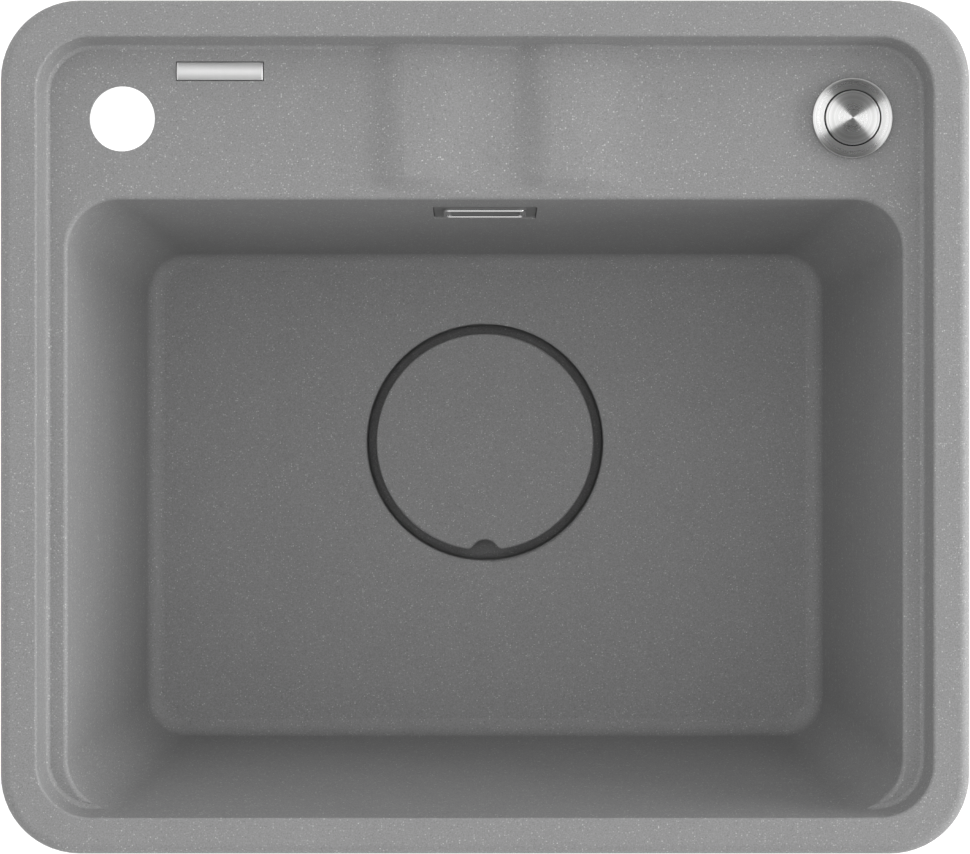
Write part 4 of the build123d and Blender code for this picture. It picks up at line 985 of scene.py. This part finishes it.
def outlet_thread():
    """Trapezoid along a helix, as (radius, angle, rise) about the outlet's axis.

    Radius = root - buried + fade x (corner's height + buried), and level = start + pitch x turns
    gone + fade x corner's rise. The fade is a quarter sine wave at the first and the last turn.
    """
    foot = box_of("waste_body")[0][2]
    low, high = box_of("waste_cup")
    axis_y = (low[1] + high[1]) / 2
    pitch, turns = 0.0023, 8.5
    root, crest, sunk = 0.0239, 0.00045, 0.0003
    wide, narrow = 0.0010, 0.0003
    along = np.linspace(0, 1, 900)[:, None]
    fade = np.clip(np.minimum(along, 1 - along) * turns / FADE_TURNS, 0, 1)
    fade = np.sin(fade * np.pi / 2)
    out = np.array([-sunk, crest, crest, -sunk])
    rise = np.array([-wide, -narrow, narrow, wide])
    radius = root - BURIED + fade * (out + BURIED)
    angle = 2 * np.pi * turns * along
    level = foot + THREAD_START + along * pitch * turns + fade * rise
    grid = np.stack([radius * np.cos(angle), axis_y + radius * np.sin(angle), level], axis=-1)
    thread = make_piece("outlet_thread", grid)
    dress(thread, PALE_PLASTIC)
    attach(thread, "sink")
    return thread


outlet_thread()

# %% [markdown]
# ## Floor and sky
# A product picture stands on white. The floor is white to the camera and to reflections, yet part
# of it is a real surface, so it keeps the sink's shadow. The sky gives an even fill. Bare metal
# shows what is round it, so reflections get a sky of their own: a dim room with bright screens. A
# picture of a room would do this too, but nodes keep each screen where it is wanted.

# %% Floor and sky
FLOOR_GAP = 0.009
FLOOR_SIZE = 60.0
FLOOR_GLOW = 0.94
FLOOR_WHITE = 0.25
FLOOR_GREY = 0.8
SIDE_AXIS = (0.9925, -0.1219, 0)
APEX = (0.1364, 0.1147, 0)
SAIL_START, SAIL_FULL = 0.77, 0.83
FRONT_SCREEN = (-0.55, -0.75, 0.68, 0.55)
BACK_SCREEN = (0.50, 0.65, 0.82, 0.74)


def ray_masks(tree):
    """Masks of camera rays and of mirror rays, which are the glossy and transmission ones."""
    path = tree.nodes.new("ShaderNodeLightPath").outputs
    mirror = maths(tree, "MAXIMUM", path["Is Glossy Ray"], path["Is Transmission Ray"])
    return path["Is Camera Ray"], mirror


def make_floor():
    """Square floor just under the waste outlet; white where seen, with the shadow left in."""
    half = FLOOR_SIZE / 2
    level = cad_low.z - FLOOR_GAP
    mesh = bpy.data.meshes.new("floor")
    around = ((-half, -half), (half, -half), (half, half), (-half, half))
    mesh.from_pydata([(x, y, level) for x, y in around], [], [(0, 1, 2, 3)])
    floor = bpy.data.objects.new("floor", mesh)
    bpy.context.scene.collection.objects.link(floor)
    material = bpy.data.materials.new("white_floor")
    material.use_nodes = True
    tree = material.node_tree
    tree.nodes.remove(tree.nodes["Principled BSDF"])
    plain = add(tree, "ShaderNodeBsdfDiffuse", {"Color": (*grey(FLOOR_GREY), 1)}).outputs[0]
    faint = add(tree, "ShaderNodeBsdfDiffuse", {"Color": (*grey(FLOOR_WHITE), 1)}).outputs[0]
    glow = add(tree, "ShaderNodeEmission", {"Strength": FLOOR_GLOW}).outputs[0]
    seen = add(tree, "ShaderNodeAddShader", {0: faint, 1: glow}).outputs[0]
    seeing = maths(tree, "MAXIMUM", *ray_masks(tree))
    mixed = add(tree, "ShaderNodeMixShader", {0: seeing, 1: plain, 2: seen}).outputs[0]
    feed(tree, tree.nodes["Material Output"], Surface=mixed)
    floor.data.materials.append(material)
    print("floor level:", round(level, 4))


def make_sky(fill, dark, bright, front, back):
    """World: an even fill for the object, and white for the camera.

    Reflections see a dim room with a bright sail at either side. The sails taper to one point over
    the control: plan = direction - height x APEX, and how far a direction points to a side is its
    share along SIDE_AXIS divided by its length in plan. Low bright screens stand in front and
    behind. Each has a share along Y where it starts and where it is full, then a height where it
    ends and where it is full.
    """
    world = bpy.data.worlds.new("studio")
    bpy.context.scene.world = world
    world.use_nodes = True
    tree = world.node_tree
    direction = tree.nodes.new("ShaderNodeTexCoord").outputs["Generated"]
    parts = add(tree, "ShaderNodeSeparateXYZ", {"Vector": direction}).outputs
    tip = vectors(tree, "MULTIPLY", APEX, parts["Z"])
    plan = vectors(tree, "SUBTRACT", direction, tip)
    plan = vectors(tree, "MULTIPLY", plan, (1, 1, 0))
    shortest = 0.0001
    length = maths(tree, "MAXIMUM", vectors(tree, "LENGTH", plan), shortest)
    along = vectors(tree, "DOT_PRODUCT", plan, SIDE_AXIS)
    sideways = maths(tree, "DIVIDE", maths(tree, "ABSOLUTE", along), length)
    room = remap(tree, sideways, 0.0, SAIL_START, dark, 1.5 * dark)
    sails = remap(tree, sideways, SAIL_START, SAIL_FULL, 0, bright, smooth=True)
    depth = maths(tree, "DIVIDE", parts["Y"], length)
    walls = maths(tree, "MAXIMUM", room, sails)
    for (start, full, top, full_top), level in ((FRONT_SCREEN, front), (BACK_SCREEN, back)):
        reach = remap(tree, depth, start, full, 0, 1, smooth=True)
        lift = remap(tree, parts["Z"], top, full_top, 0, level, smooth=True)
        walls = maths(tree, "MAXIMUM", walls, maths(tree, "MULTIPLY", reach, lift))
    camera_rays, mirror_rays = ray_masks(tree)
    lit = add(tree, "ShaderNodeMix", {"Factor": mirror_rays, 2: fill, 3: walls}).outputs[0]
    strength = add(tree, "ShaderNodeMix", {"Factor": camera_rays, 2: lit, 3: 1.0}).outputs[0]
    feed(tree, tree.nodes["Background"], Strength=strength)
    tree.nodes["Background"].inputs["Color"].default_value = (*grey(1), 1)
    print("sky:", world.name)


make_floor()
make_sky(fill=0.753, dark=0.03, bright=1.20, front=0.80, back=0.60)

# %% [markdown]
# ## Lamps
# Two broad lamps stand at the right, one low and one higher. A weak lamp hangs overhead and a
# weaker one stands behind. Small lamps would draw hard shadows, which a product picture avoids. The
# overhead one is kept out of reflections, because the turned steel would show it as a bright spot.

# %% Four soft lamps
def add_lamp(name, location, width, height, power, in_mirrors=True):
    """Soft rectangular lamp that faces the sink."""
    data = bpy.data.lights.new(name, "AREA")
    data.shape = "RECTANGLE"
    data.size = width
    data.size_y = height
    data.energy = power
    lamp = bpy.data.objects.new(name, data)
    lamp.location = location
    lamp.rotation_mode = "QUATERNION"
    lamp.rotation_quaternion = Vector(location).to_track_quat("Z", "Y")
    lamp.visible_glossy = in_mirrors
    bpy.context.scene.collection.objects.link(lamp)
    return lamp


LAMPS = [
    add_lamp("right_strip", (2.476, 0, 0.348), 3.0, 0.5, 25.4),
    add_lamp("right_softbox", (2.349, 0, 0.855), 3.0, 0.6, 29.8),
    add_lamp("overhead_softbox", (0, 0.001, 3.2), 1.6, 1.6, 13.6, in_mirrors=False),
    add_lamp("back_softbox", (0, 2.349, 0.855), 2.6, 0.6, 4.8),
]
print("lamps:", [lamp.name for lamp in LAMPS])

# %% [markdown]
# ## Camera
# The view is straight down on the sink, as a product picture is taken. The camera's height sets how
# much the bowl narrows with depth, and the lens then follows from the width that the picture shows.
# A view without perspective would be simpler, but the bowl's walls would look far too narrow.

# %% Camera above the sink
CAMERA_ABOVE_RIM = 1.42
VIEW_WIDTH_AT_RIM = 0.51084
SENSOR_WIDTH = 36.0


def make_camera():
    """Camera above the middle of the sink: lens = sensor x height / width seen at the rim."""
    data = bpy.data.cameras.new("camera")
    data.sensor_width = SENSOR_WIDTH
    data.lens = SENSOR_WIDTH * CAMERA_ABOVE_RIM / VIEW_WIDTH_AT_RIM
    camera = bpy.data.objects.new("camera", data)
    camera.location = (0, 0, cad_high.z + CAMERA_ABOVE_RIM)
    bpy.context.scene.collection.objects.link(camera)
    bpy.context.scene.camera = camera
    return camera


camera = make_camera()
bpy.context.scene.view_settings.view_transform = "Standard"
print("lens:", round(camera.data.lens, 2), "mm")
